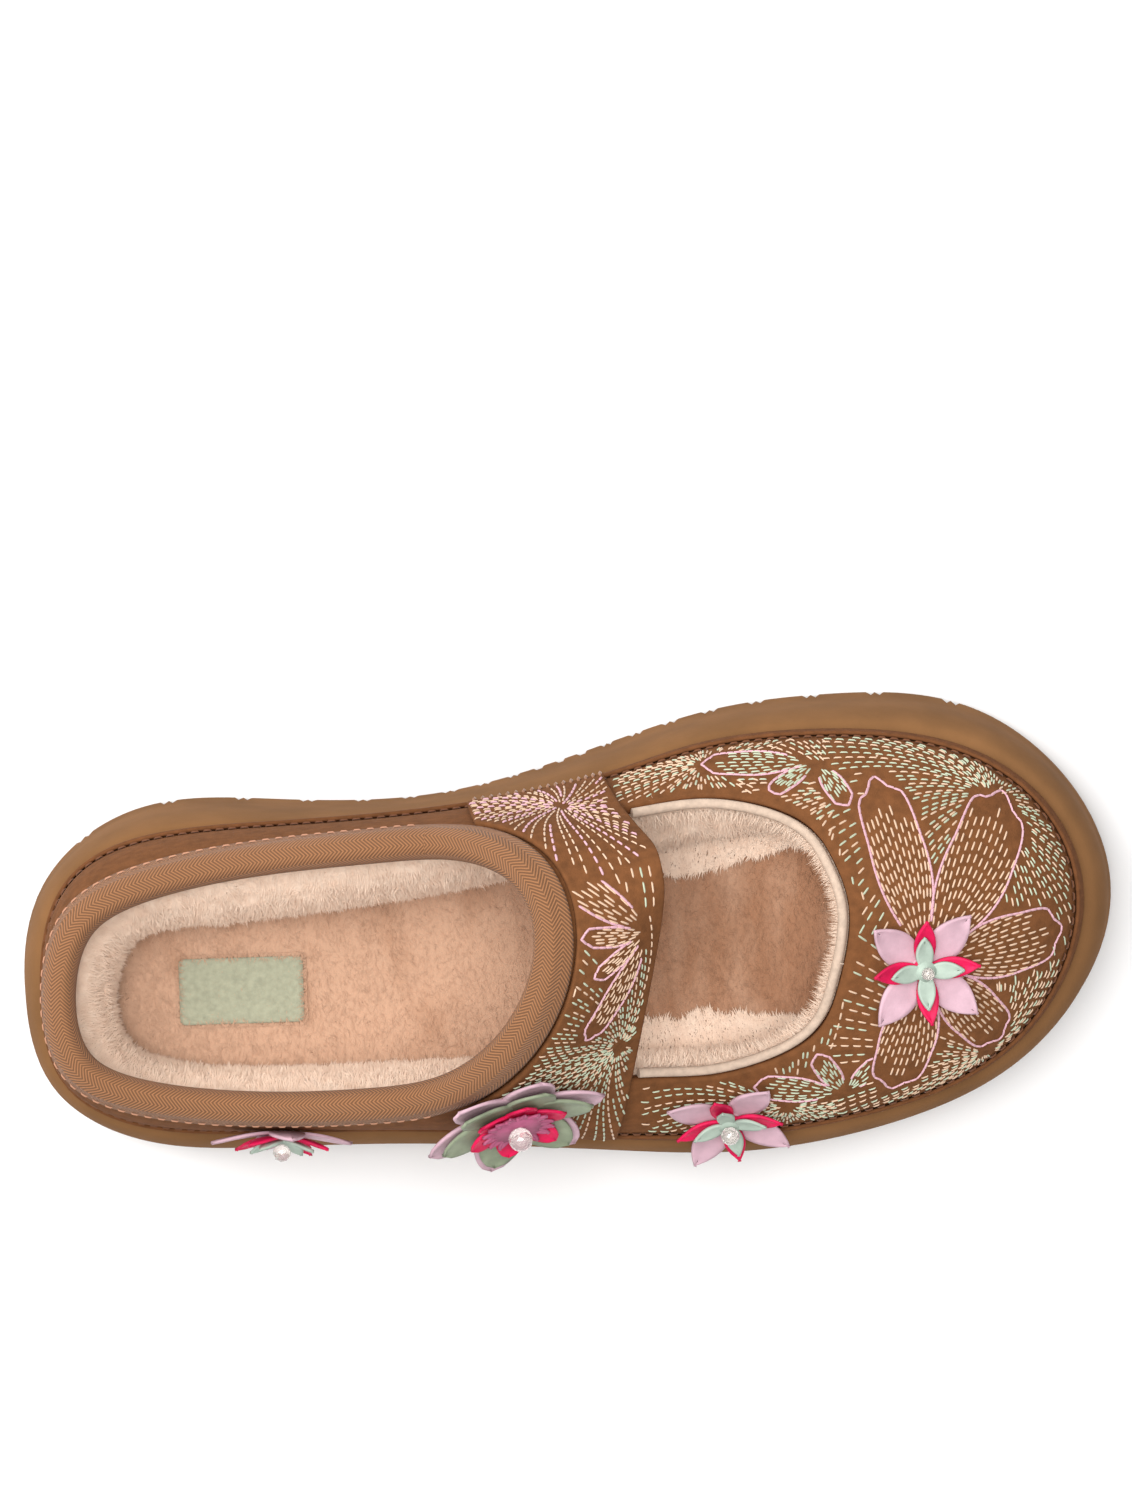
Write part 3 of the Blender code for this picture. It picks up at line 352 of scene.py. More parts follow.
def open_curve(xs, ys, x):
    """Smooth curve through the points (xs, ys), with no overshoot at the flat stretches, at x."""
    slopes = np.diff(ys) / np.diff(xs)
    before, after = slopes[:-1], slopes[1:]
    same_way = before * after > 0
    total = np.where(same_way, before + after, 1.0)
    middle = np.where(same_way, 2 * before * after / total, 0.0)
    ends = np.concatenate([slopes[:1], middle, slopes[-1:]])
    x = np.clip(x, xs[0], xs[-1])
    i = np.clip(np.searchsorted(xs, x, side="right") - 1, 0, len(xs) - 2)
    span = xs[i + 1] - xs[i]
    return hermite(ys[i], ys[i + 1], ends[i] * span, ends[i + 1] * span, (x - xs[i]) / span)


def smooth_rows(lines, steps):
    """More rows through these rows of points, by Catmull-Rom."""
    lines = np.asarray(lines, float)
    slopes = np.gradient(lines, axis=0)
    rows = [
        hermite(lines[i], lines[i + 1], slopes[i], slopes[i + 1], k / steps)
        for i in range(len(lines) - 1)
        for k in range(steps)
    ]
    return np.array(rows + [lines[-1]])


def unit(vectors):
    return vectors / np.linalg.norm(vectors, axis=-1, keepdims=True)


def lengths(path):
    """Distance along a path of points at each of them."""
    return np.append(0.0, np.cumsum(np.linalg.norm(np.diff(path, axis=0), axis=1)))


def soften(line, passes, directions=False):
    """A closed line of points, or of directions, with its corners rounded off."""
    for _ in range(passes):
        line = line / 2 + (np.roll(line, 1, 0) + np.roll(line, -1, 0)) / 4
        if directions:
            line = unit(line)
    return line


def station_rows():
    """The stations in millimetres and radians."""
    scale = np.array([LENGTH, BALL_WIDTH] * 3 + [INSTEP_HEIGHT]) / PERCENT
    rows = np.array([station[1:] for station in STATIONS], float)
    rows[:, : len(scale)] *= scale
    rows[:, len(scale)] = np.radians(rows[:, len(scale)])
    return rows


ROWS = station_rows()
STEPS = np.linalg.norm(np.roll(ROWS[:, :2], -1, 0) - ROWS[:, :2], axis=1)
KNOTS = np.append(0.0, np.cumsum(STEPS)[:-1]) / STEPS.sum()
ROUND = closed_spline(KNOTS, ROWS)
KNOT_OF = {station.name: knot for station, knot in zip(STATIONS, KNOTS)}
MEDIAL_STRAP = KNOT_OF["strap_back_medial"], KNOT_OF["strap_front_medial"]
LATERAL_STRAP = KNOT_OF["strap_back_lateral"], KNOT_OF["strap_front_lateral"]
THROAT = MEDIAL_STRAP[1], LATERAL_STRAP[1]
LEVEL_ALONG = np.array([level.along for level in LEVELS]) * LENGTH / PERCENT
LEVEL_GROUND = np.array([level.ground for level in LEVELS])
LEVEL_RIM = np.array([level.rim for level in LEVELS])


Section = namedtuple("Section", "sole foot edge height sweep bulge pile")


def section(u):
    """The stations' values at u round the shoe, with the three outlines as points from above."""
    row = ROUND(u)
    return Section(row[:, 0:2], row[:, 2:4], row[:, 4:6], *row[:, 6:].T)


def inward_way(at):
    """The way in from the sole's edge to the foot line, from above."""
    return unit(at.foot - at.sole)


def ground(along):
    return open_curve(LEVEL_ALONG, LEVEL_GROUND, along)


def rim(along):
    return open_curve(LEVEL_ALONG, LEVEL_RIM, along)


def seat_height(along):
    """Height at which the upper and the insole stand in the sole's recess."""
    return rim(along) - SEAT_DEPTH + GAP


def wall(u, v):
    """Outer face of the upper's wall at u round the shoe, from the foot line, v 0, to the top edge, v 1."""
    at = section(u)
    v = np.broadcast_to(np.asarray(v, float), len(at.height))
    base = seat_height(at.foot[:, 0])
    lean = (1 - np.cos(v * at.sweep)) / (1 - np.cos(at.sweep))
    climb = np.sin(v * at.sweep) / np.sin(at.sweep)
    swell = at.bulge * np.sin(math.pi * v) ** 2
    flat = at.foot + (at.edge - at.foot) * lean[:, None] - inward_way(at) * swell[:, None]
    return np.column_stack([flat, base + (at.height - base) * climb])


def wall_share(u, above_rim):
    """The v at which the wall has this height over the sole's rim."""
    at = section(u)
    climb = (above_rim + SEAT_DEPTH - GAP) / (at.height - seat_height(at.foot[:, 0]))
    return np.arcsin(climb * np.sin(at.sweep)) / at.sweep


def strap_ends(t):
    """Where the strap's line t meets the medial and the lateral wall."""
    return tuple(back + (front - back) * t for back, front in (MEDIAL_STRAP, LATERAL_STRAP))


def arch(t, w):
    """Outer face of the strap on its line t, from the medial wall, w 0, to the lateral one, w 1."""
    back, front = (np.array(crest, float) for crest in STRAP_CRESTS)
    crest = (back + (front - back) * t) * (LENGTH, BALL_WIDTH, INSTEP_HEIGHT) / PERCENT
    ends = strap_ends(t)
    starts = [wall(u, 1.0)[0] for u in ends]
    ways = [unit(start - wall(u, NEAR_EDGE)[0]) for start, u in zip(starts, ends)]
    w = np.asarray(w, float)[:, None]
    line = starts[0] * (1 - w) ** 2 * (1 + 2 * w) + starts[1] * w * w * (3 - 2 * w)
    for start, way, share in zip(starts, ways, (w * (1 - w) ** 2, w * w * (1 - w))):
        line[:, 1:] += 4 * share * way[1:] * (crest[2] - start[2]) / way[2]
    middle = (starts[0] + starts[1]) / 2
    line[:, 0] = starts[0][0] + (starts[1][0] - starts[0][0]) * w[:, 0]
    line[:, 0] += (crest[0] - middle[0]) * 4 * w[:, 0] * (1 - w[:, 0])
    line[:, 1] += (crest[1] - middle[1]) * 16 * (w[:, 0] * (1 - w[:, 0])) ** 2
    return line


class UpperSheet:
    """The upper's outer face as one sheet: a wall right round, and the strap's arch between its sides."""

    def __init__(self):
        ends = (*MEDIAL_STRAP, *reversed(LATERAL_STRAP), 1 + MEDIAL_STRAP[0])
        cells = (STRAP_CELLS, TOE_CELLS, STRAP_CELLS, HEEL_CELLS)
        stretches = zip(ends, ends[1:], cells)
        self.loop = np.concatenate([np.linspace(*stretch, endpoint=False) for stretch in stretches])
        self.rows = len(self.loop)
        columns = [wall(self.loop, j / WALL_CELLS) for j in range(WALL_CELLS + 1)]
        inside = np.linspace(0, 1, ARCH_CELLS + 1)[1:-1]
        lines = [arch(i / STRAP_CELLS, inside) for i in range(STRAP_CELLS + 1)]
        self.points = np.concatenate(columns + lines)
        self.wall_faces = [
            (self.at(i, j), self.at(i, j + 1), self.at(i + 1, j + 1), self.at(i + 1, j))
            for i in range(self.rows)
            for j in range(WALL_CELLS)
        ]
        self.arch_faces = [
            (self.over(i, k), self.over(i, k + 1), self.over(i + 1, k + 1), self.over(i + 1, k))
            for i in range(STRAP_CELLS)
            for k in range(ARCH_CELLS)
        ]
        self.faces = self.wall_faces + self.arch_faces
        corners = self.points[np.array(self.faces)]
        normals = np.zeros_like(self.points)
        across = np.cross(corners[:, 2] - corners[:, 0], corners[:, 3] - corners[:, 1])
        for k in range(4):
            np.add.at(normals, np.array(self.faces)[:, k], across)
        self.normals = unit(normals)

    def at(self, i, j):
        return j * self.rows + i % self.rows

    def over(self, i, k):
        if k == 0:
            return self.at(i, WALL_CELLS)
        if k == ARCH_CELLS:
            return self.at(2 * STRAP_CELLS + TOE_CELLS - i, WALL_CELLS)
        return (WALL_CELLS + 1) * self.rows + i * (ARCH_CELLS - 1) + k - 1

    def collar(self):
        back_edge = [self.over(0, k) for k in range(ARCH_CELLS)]
        quarters = [self.at(i, WALL_CELLS) for i in range(2 * STRAP_CELLS + TOE_CELLS, self.rows)]
        return back_edge + quarters

    def strap_faces(self):
        """Faces that the strap's own suede covers."""
        rows = range(STRAP_BACK_CELL, STRAP_CELLS)
        first = STRAP_CELLS + TOE_CELLS
        sides = list(rows) + list(range(first, first + len(rows)))
        heights = range(STRAP_FOOT_CELL, WALL_CELLS)
        walls = [self.wall_faces[i * WALL_CELLS + j] for i in sides for j in heights]
        return walls + [self.arch_faces[i * ARCH_CELLS + k] for i in rows for k in range(ARCH_CELLS)]

    def tree(self):
        return BVHTree.FromPolygons(self.points.tolist(), self.faces)


# Materials

SHEEN_ROUGHNESS, MOTTLE_STOPS = 0.5, (0.3, 0.7)
# The footbed's painted shade between two places along the foot, in metres, and what it adds to the mottle
# there: lighter at the heel, darker at the ball under the vamp.
PAINTED_SHADE_PLACES, PAINTED_SHADE_AMOUNTS = (-0.02, 0.05), (0.2, -0.2)


def linear(red, green, blue):
    """A screen colour, 0 to 255, as the shader's linear one."""
    shares = np.array([red, green, blue]) / 255
    return (*np.where(shares <= 0.04045, shares / 12.92, ((shares + 0.055) / 1.055) ** 2.4), 1.0)


class Look:
    """A Principled material with a mottled colour and a fine relief."""

    def __init__(self, name, colour, roughness, sheen=0.0, specular=0.25):
        self.material = bpy.data.materials.new(name)
        self.material.use_nodes = True
        self.tree = self.material.node_tree
        self.shader = self.tree.nodes["Principled BSDF"]
        self.set("Base Color", linear(*colour))
        self.set("Roughness", roughness)
        self.set("Sheen Weight", sheen)
        self.set("Sheen Roughness", SHEEN_ROUGHNESS)
        self.set("Specular IOR Level", specular)
        self.place = self.node("ShaderNodeTexCoord").outputs["Object"]
        self.relief = None

    def set(self, socket, value):
        self.shader.inputs[socket].default_value = value

    def node(self, kind, **settings):
        made = self.tree.nodes.new(kind)
        for key, value in settings.items():
            setattr(made, key, value)
        return made

    def link(self, source, target):
        self.tree.links.new(source, target)

    def math(self, operation, first, second=None):
        made = self.node("ShaderNodeMath", operation=operation)
        for socket, value in zip(made.inputs, (first, second)):
            if value is None:
                continue
            if isinstance(value, (int, float)):
                socket.default_value = value
            else:
                self.link(value, socket)
        return made.outputs[0]

    def noise(self, scale, detail=4.0, stretch=(1, 1, 1)):
        place = self.place
        if stretch != (1, 1, 1):
            mapping = self.node("ShaderNodeMapping")
            mapping.inputs["Scale"].default_value = stretch
            self.link(place, mapping.inputs["Vector"])
            place = mapping.outputs["Vector"]
        made = self.node("ShaderNodeTexNoise")
        made.inputs["Scale"].default_value = scale
        made.inputs["Detail"].default_value = detail
        self.link(place, made.inputs["Vector"])
        return made.outputs["Fac"]

    def mottle(self, fac, dark, light):
        """Colours between two screen colours, by fac."""
        ramp = self.node("ShaderNodeValToRGB")
        for element, position, colour in zip(ramp.color_ramp.elements, MOTTLE_STOPS, (dark, light)):
            element.position = position
            element.color = linear(*colour)
        self.link(fac, ramp.inputs["Fac"])
        self.link(ramp.outputs["Color"], self.shader.inputs["Base Color"])

    def bump(self, height, strength, distance):
        made = self.node("ShaderNodeBump")
        made.inputs["Strength"].default_value = strength
        made.inputs["Distance"].default_value = distance * MM
        self.link(height, made.inputs["Height"])
        if self.relief is not None:
            self.link(self.relief, made.inputs["Normal"])
        self.relief = made.outputs["Normal"]
        self.link(self.relief, self.shader.inputs["Normal"])


def shade(colour, factor):
    return tuple(min(255.0, c * factor) for c in colour)


# A finish: blotches of colour, from dark to light shares of its own, over grains of relief in millimetres.
Grain = namedtuple("Grain", "scale detail strength depth")
Finish = namedtuple("Finish", "roughness specular sheen blotch detail dark light grains")
SUEDE_GRAINS = Grain(1100, 5, 0.3, 0.4), Grain(3600, 3, 0.5, 0.2)
SUEDE_FINISH = Finish(1.0, 0.1, 0.0, 420, 8, 0.9, 1.07, SUEDE_GRAINS)
FOAM_FINISH = Finish(0.9, 0.08, 0.0, 60, 5, 0.93, 1.05, (Grain(1300, 4, 0.25, 0.3),))
FLEECE_FINISH = Finish(1.0, 0.25, 0.3, 260, 6, None, 1.0, (Grain(1500, 5, 0.3, 0.6),))
CORD_FINISH = Finish(0.85, 0.25, 0.0, 700, 3, 0.9, 1.0, (Grain(1800, 3, 0.5, 0.3),))
PETAL_FINISH = Finish(0.55, 0.25, 0.0, 220, 5, 0.85, 1.04, (Grain(1500, 4, 0.25, 0.25),))


def grained_look(name, colour, finish, low=None):
    """A material of this finish, from low, or else its dark share of the colour, to its light share."""
    look = Look(name, colour, finish.roughness, finish.sheen, finish.specular)
    blotches = look.noise(finish.blotch, finish.detail)
    look.mottle(blotches, low or shade(colour, finish.dark), shade(colour, finish.light))
    for grain in finish.grains:
        look.bump(look.noise(grain.scale, grain.detail), grain.strength, grain.depth)
    return look.material


def nap_look(name, colour, low):
    """Brushed fleece, with a streaky nap across the foot, and painted shade that leaves it lighter at the
    heel and darker under the ball, where the vamp shades it.
    """
    look = Look(name, colour, roughness=1.0, sheen=0.2)
    parts = look.node("ShaderNodeSeparateXYZ")
    look.link(look.place, parts.inputs["Vector"])
    # Painted shade by place along the foot: lighter at the heel, darker toward the ball, added to the nap's
    # mottle.
    painted_shade = look.node("ShaderNodeMapRange", interpolation_type="SMOOTHSTEP")
    for socket, value in zip(painted_shade.inputs[1:5], PAINTED_SHADE_PLACES + PAINTED_SHADE_AMOUNTS):
        socket.default_value = value
    look.link(parts.outputs["X"], painted_shade.inputs[0])
    streaks = look.noise(scale=90, detail=6, stretch=(1.0, 0.45, 1.0))
    look.mottle(look.math("ADD", streaks, painted_shade.outputs[0]), low, colour)
    tufts = look.noise(scale=420, detail=6, stretch=(1.6, 0.6, 1.0))
    look.bump(tufts, strength=0.5, distance=1.0)
    look.bump(look.noise(scale=2600, detail=3), strength=0.5, distance=0.4)
    return look.material


def herringbone_look(name, colour):
    """Tape woven in chevrons, drawn from the mesh's uv, which holds millimetres along and across."""
    look = Look(name, colour, roughness=0.9, sheen=0.1)
    dark, light = shade(colour, 0.78), shade(colour, 1.1)
    uv = look.node("ShaderNodeUVMap", uv_map="tape")
    parts = look.node("ShaderNodeSeparateXYZ")
    look.link(uv.outputs["UV"], parts.inputs["Vector"])
    along, across = parts.outputs["X"], parts.outputs["Y"]
    zigzag = look.math("PINGPONG", across, CHEVRON)
    slant = look.math("ADD", along, zigzag)
    rib = look.math("SINE", look.math("MULTIPLY", slant, 2 * math.pi / YARN))
    rib = look.math("MULTIPLY_ADD", rib, 0.5)
    rib.node.inputs[2].default_value = 0.5
    look.mottle(rib, dark, light)
    look.bump(rib, strength=0.7, distance=0.3)
    look.bump(look.noise(scale=2600, detail=3), strength=0.3, distance=0.2)
    return look.material


def thread_look(name, colour):
    return Look(name, colour, roughness=0.55, sheen=0.2).material


def glass_look(name, colour, clear):
    look = Look(name, colour, roughness=0.06, specular=0.6)
    look.set("Transmission Weight", clear)
    look.set("IOR", 1.5)
    look.set("Coat Weight", 0.5)
    return look.material


SUEDE = grained_look("suede", (118, 76, 46), SUEDE_FINISH)
FOXING_SUEDE = grained_look("foxing_suede", (114, 73, 45), SUEDE_FINISH)
FOAM = grained_look("foam", (132, 94, 60), FOAM_FINISH)
FLEECE = grained_look("fleece", (243, 219, 198), FLEECE_FINISH, (234, 205, 182))
NAP = nap_look("nap", (199, 160, 133), (164, 119, 90))
TWILL = herringbone_look("twill", (146, 101, 68))
PIPING = grained_look("piping", (208, 184, 164), CORD_FINISH)
LABEL = grained_look("label", (168, 170, 146), CORD_FINISH)
PETALS = {
    name: grained_look(name, colour, PETAL_FINISH._replace(dark=dark))
    for name, colour, dark in (
        ("petal_pale", (208, 172, 184), 0.92),
        ("petal_pink", (226, 24, 84), 0.85),
        ("petal_mint", (178, 194, 180), 0.9),
        ("petal_sage", (146, 156, 130), 0.85),
        ("petal_mauve", (186, 98, 132), 0.85),
    )
}
THREADS = {
    name: thread_look(f"{name}_thread", colour)
    for name, colour in (
        ("peach", (220, 188, 160)),
        ("pink", (216, 170, 182)),
        ("sage", (188, 198, 172)),
        ("seam", (184, 134, 106)),
        ("brown", (112, 68, 40)),
        ("whip", (152, 104, 72)),
    )
}
BEAD = glass_look("bead", (236, 226, 222), 0.75)


# Pieces


def frame_shift():
    """From the tables' origin to the frame's, by the low corner of the sole's outline."""
    drawn = section(np.linspace(0, 1, OUTLINE_STEPS + 1)).sole.min(0)
    return np.append(np.array(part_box("outsole")[0][:2]) / MM - drawn, 0.0)


SHIFT = frame_shift()


def add_piece(name, points, faces, material, slot, replaces=(), uv=None, smooth=True, normals=None):
    """A piece of the slipper from points in millimetres, riding on the frame's one body."""
    mesh = bpy.data.meshes.new(name)
    mesh.from_pydata(((np.asarray(points) + SHIFT) * MM).tolist(), [], faces)
    used = np.zeros(len(mesh.vertices), bool)
    used[np.array([loop.vertex_index for loop in mesh.loops])] = True
    if not used.all():
        numbers = np.cumsum(used) - 1
        kept = [tuple(int(numbers[i]) for i in face) for face in faces]
        mesh.clear_geometry()
        mesh.from_pydata(((np.asarray(points)[used] + SHIFT) * MM).tolist(), [], kept)
    if smooth:
        mesh.shade_smooth()
        mesh.set_sharp_from_angle(angle=math.radians(SHARP_ANGLE))
    if uv is not None:
        layer = mesh.uv_layers.new(name="tape")
        layer.uv.foreach_set("vector", np.asarray(uv, np.float32).ravel())
    if normals is not None:
        mesh.normals_split_custom_set_from_vertices(normals.tolist())
    mesh.materials.append(material)
    piece = bpy.data.objects.new(name, mesh)
    bpy.context.scene.collection.objects.link(piece)
    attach(piece, "root")
    if replaces:
        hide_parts(*replaces)
    return piece


def solidify(piece, thickness, outward, clear=0.0, rounded=0):
    if clear:
        lift = piece.modifiers.new("clearance", "DISPLACE")
        lift.strength = clear * MM
        lift.mid_level = 0.0
    solid = piece.modifiers.new("thickness", "SOLIDIFY")
    solid.thickness = thickness * MM
    solid.offset = 1.0 if outward else -1.0
    if rounded:
        soft = piece.modifiers.new("rounding", "SUBSURF")
        soft.levels = rounded
        soft.render_levels = rounded


def ring_faces(first, second, count):
    following = [(i + 1) % count for i in range(count)]
    return [(first + i, second + i, second + k, first + k) for i, k in enumerate(following)]


def tube_faces(rings, count):
    """Faces between rings of count points, each joined to the next."""
    return [face for i in range(rings - 1) for face in ring_faces(i * count, (i + 1) * count, count)]


def grid_faces(rows, columns, first=0):
    """Faces of an open grid of points, row after row."""
    corners = [first + i * columns + k for i in range(rows - 1) for k in range(columns - 1)]
    return [(a, a + columns, a + columns + 1, a + 1) for a in corners]


def ladder(first, count, upward):
    """Faces across a ring of points that starts at one end of the foot, from side to side."""
    faces = []
    for i in range(count // 2):
        corners = [first + c for c in dict.fromkeys([i, i + 1, count - i - 1, (count - i) % count])]
        faces.append(tuple(reversed(corners)) if upward else tuple(corners))
    return faces


def add_capped(name, lines, material, slot, replaces):
    """A closed piece from rings of points, bottom to top, with a ladder of faces across each end."""
    count = len(lines[0])
    faces = ladder(0, count, upward=False) + tube_faces(len(lines), count)
    faces += ladder((len(lines) - 1) * count, count, upward=True)
    add_piece(name, np.concatenate(lines), faces, material, slot, replaces)


def tread_rungs():
    """Cross sections of the sole, as (along, groove), with groove 1 on a groove's floor and 0 on a lug."""
    middles = []
    for way in (-1, 1):
        middle = WAIST if way > 0 else WAIST - WAIST_PITCH
        while END_ARC[-1] + MOUTH_LIMIT < middle < LENGTH - END_ARC[-1] - MOUTH_LIMIT:
            pitch = WAIST_PITCH + PITCH_GROWTH * abs(middle - WAIST)
            middles.append((middle, pitch))
            middle += way * pitch
    rungs = [(x, 0.0) for x in END_ARC]
    for middle, pitch in sorted(middles):
        mouth = min(GROOVE_MOUTH * pitch, MOUTH_LIMIT)
        floor = mouth * GROOVE_FLOOR / GROOVE_MOUTH
        half = ((mouth, 0.0), (GROOVE_LIP * mouth, GROOVE_LIP_DEPTH), (floor, 1.0))
        rungs += [(middle - offset, groove) for offset, groove in half]
        rungs += [(middle + offset, groove) for offset, groove in reversed(half)]
    rungs += [(LENGTH - x, 0.0) for x in reversed(END_ARC)]
    filled = rungs[:1]
    for (start, _), (end, groove) in zip(rungs, rungs[1:]):
        parts = math.ceil((end - start) / RUNG_SPACING)
        filled += [(start + (end - start) * i / parts, 0.0) for i in range(1, parts)]
        filled.append((end, groove))
    return filled


def make_sole():
    """Foam platform with a smooth rounded side over the CAD's tread."""
    along = section(np.linspace(0, 1, OUTLINE_STEPS + 1)).sole[:, 0]
    heel, toe = along[:-1].argmin(), along.argmax()
    if heel > toe:
        heel -= OUTLINE_STEPS
    steps = np.arange(heel, heel + OUTLINE_STEPS)
    turning = toe - heel
    path = along[steps % OUTLINE_STEPS]
    rungs = tread_rungs()
    wanted = np.array([x for x, _ in rungs])
    medial = np.interp(wanted, path[: turning + 1], steps[: turning + 1])
    lateral = np.interp(wanted, path[turning:][::-1], steps[turning:][::-1])
    loop = np.concatenate([[steps[0]], medial, [steps[turning]], lateral[::-1]]) / OUTLINE_STEPS
    depth = [groove for _, groove in rungs]
    groove = np.array([0.0] + depth + [0.0] + depth[::-1])
    edge, foot = section(loop)[:2]
    low, high = ground(edge[:, 0]), rim(foot[:, 0])
    seat = foot + unit(edge - foot) * SEAT_CLEARANCE

    def line(inward, height):
        flat = edge + (foot - edge) * np.asarray(inward)[..., None]
        return np.column_stack([flat, np.broadcast_to(height, len(edge))])

    side = [
        line(TREAD_EDGE + GROOVE_NOTCH * groove, low + GROOVE_DEPTH * groove),
        line(GROOVE_NOTCH * groove, low + EDGE_RISE + GROOVE_DEPTH * groove),
    ]
    side += [line(np.full(len(edge), s.inward), low + (high - low) * s.upward) for s in SHOULDERS]
    side.append(np.column_stack([seat, high]))
    lines = list(smooth_rows(side, SIDE_STEPS)) + [np.column_stack([seat, high - SEAT_DEPTH])]
    add_capped("platform_sole", lines, FOAM, "foam", ["outsole"])


def insole_height(along):
    return seat_height(along) + INSOLE_THICKNESS


def fleece_edge(u):
    """Where the lining's pile ends on the insole, a running mean that rounds the heel's corners."""
    line = np.zeros((len(u), 2))
    for shift in np.linspace(-PILE_ROUNDING, PILE_ROUNDING, ROUNDING_STEPS):
        at = section(u + shift)
        line += (at.foot + inward_way(at) * at.pile[:, None]) / ROUNDING_STEPS
    return np.column_stack([line, insole_height(line[:, 0])])


def make_insole():
    """Brushed footbed with a rounded edge."""
    search = np.linspace(0, 1, TOE_SEARCH_STEPS, endpoint=False)
    toe = section(search).sole[:, 0].argmax() / TOE_SEARCH_STEPS
    stretches = ((0, toe), (toe, 1))
    loop = np.concatenate([np.linspace(*stretch, INSOLE_STEPS, endpoint=False) for stretch in stretches])
    at = section(loop)
    inward, floor = inward_way(at), seat_height(at.foot[:, 0])
    side = WALL + 2 * GAP
    edge = ((0, 0), (INSOLE_ROUND / 4, INSOLE_THICKNESS / 2), (INSOLE_ROUND, INSOLE_THICKNESS))
    lines = [
        np.column_stack([at.foot + inward * (side + inset), floor + height]) for inset, height in edge
    ]
    top = lines[-1]
    partner = top[-np.arange(len(loop))]
    shares = np.linspace(INSOLE_BORDER, 1.0, INSOLE_LINES)[:-1]
    lines += [top + (partner - top) * share / 2 for share in shares]
    add_capped("footbed", lines, NAP, "fleece", ["insole"])


def label_axes():
    """The label's long and short ways on the insole."""
    turn = math.radians(LABEL_TURN)
    return np.array([(math.cos(turn), math.sin(turn), 0.0), (-math.sin(turn), math.cos(turn), 0.0)])


def make_label():
    """Plain woven tab with soft corners."""
    half = np.array(LABEL_SIZE) / 2
    side = LABEL_CELLS + 1
    across, along = (grid.ravel() for grid in np.meshgrid(*[np.linspace(-1, 1, side)] * 2, indexing="ij"))
    flat = np.column_stack([along, across]) * half
    past = np.abs(flat) - half + LABEL_CORNER
    corner = (past > 0).all(1)
    pull = np.minimum(1.0, LABEL_CORNER / np.linalg.norm(past[corner], axis=1))
    flat[corner] -= np.copysign(past[corner] * (1 - pull[:, None]), flat[corner])
    points = flat @ label_axes() + [*LABEL_CENTRE, 0.0]
    wave = LABEL_WAVE * np.sin(flat[:, 0] * LABEL_RADIANS_PER_MM)
    points[:, 2] = insole_height(points[:, 0]) + GAP + wave
    faces = [face[::-1] for face in grid_faces(side, side)]
    label = add_piece("woven_label", points, faces, LABEL, "label", ["insole_label"])
    solidify(label, LABEL_THICKNESS, outward=True)


def make_upper(sheet):
    shell = add_piece("suede_upper", sheet.points, sheet.faces, SUEDE, "suede", ["upper"])
    solidify(shell, WALL, outward=False)
    cover = add_piece("suede_strap", sheet.points, sheet.strap_faces(), SUEDE, "suede", ["strap"])
    solidify(cover, STRAP_COVER, outward=True, clear=GAP, rounded=1)


def make_foxing(sheet):
    heights = np.linspace(2 * GAP, 2 * GAP + FOXING_HEIGHT, FOXING_LINES)
    lines = [wall(sheet.loop, wall_share(sheet.loop, height)) for height in heights]
    faces = tube_faces(FOXING_LINES, sheet.rows)
    band = add_piece("foxing_band", np.concatenate(lines), faces, FOXING_SUEDE, "foxing_suede", ["foxing"])
    solidify(band, FOXING_THICKNESS, outward=True, clear=GAP, rounded=1)


def collar_frame(sheet):
    """Points of the collar's edge, with the ways out of the upper and down onto it, smooth at the strap."""
    numbers = sheet.collar()
    edge = soften(sheet.points[numbers], EDGE_PASSES)
    out = soften(sheet.normals[numbers], OUT_PASSES, directions=True)
    way = soften(unit(np.roll(edge, -1, 0) - np.roll(edge, 1, 0)), WAY_PASSES, directions=True)
    return edge, out, unit(np.cross(out, way))


def make_binding(sheet, tree):
    """Herringbone tape folded over the collar. Returns its lower outer edge."""
    edge, out, onto = collar_frame(sheet)
    folds = smooth_rows(np.array(BINDING_OUTSIDE), TAPE_STEPS)
    lines = []
    for inward, outward in folds:
        line = edge + onto * inward + out * outward
        if inward > TAPE_LIES_FLAT and outward > 0:
            for i, start in enumerate(edge + onto * inward):
                spot, face_out = tree.find_nearest(Vector(start))[:2]
                line[i] = spot + face_out * outward
        lines.append(line)
    along, across = lengths(np.append(edge, edge[:1], axis=0)), lengths(folds)
    uv = [
        corner
        for low, high in zip(across, across[1:])
        for a, b in zip(along, along[1:])
        for corner in ((a, low), (a, high), (b, high), (b, low))
    ]
    faces = tube_faces(len(lines), len(edge))
    tape = add_piece("collar_tape", np.concatenate(lines), faces, TWILL, "twill", ["collar_binding"], uv=uv)
    solidify(tape, TAPE, outward=False)
    return lines[0]


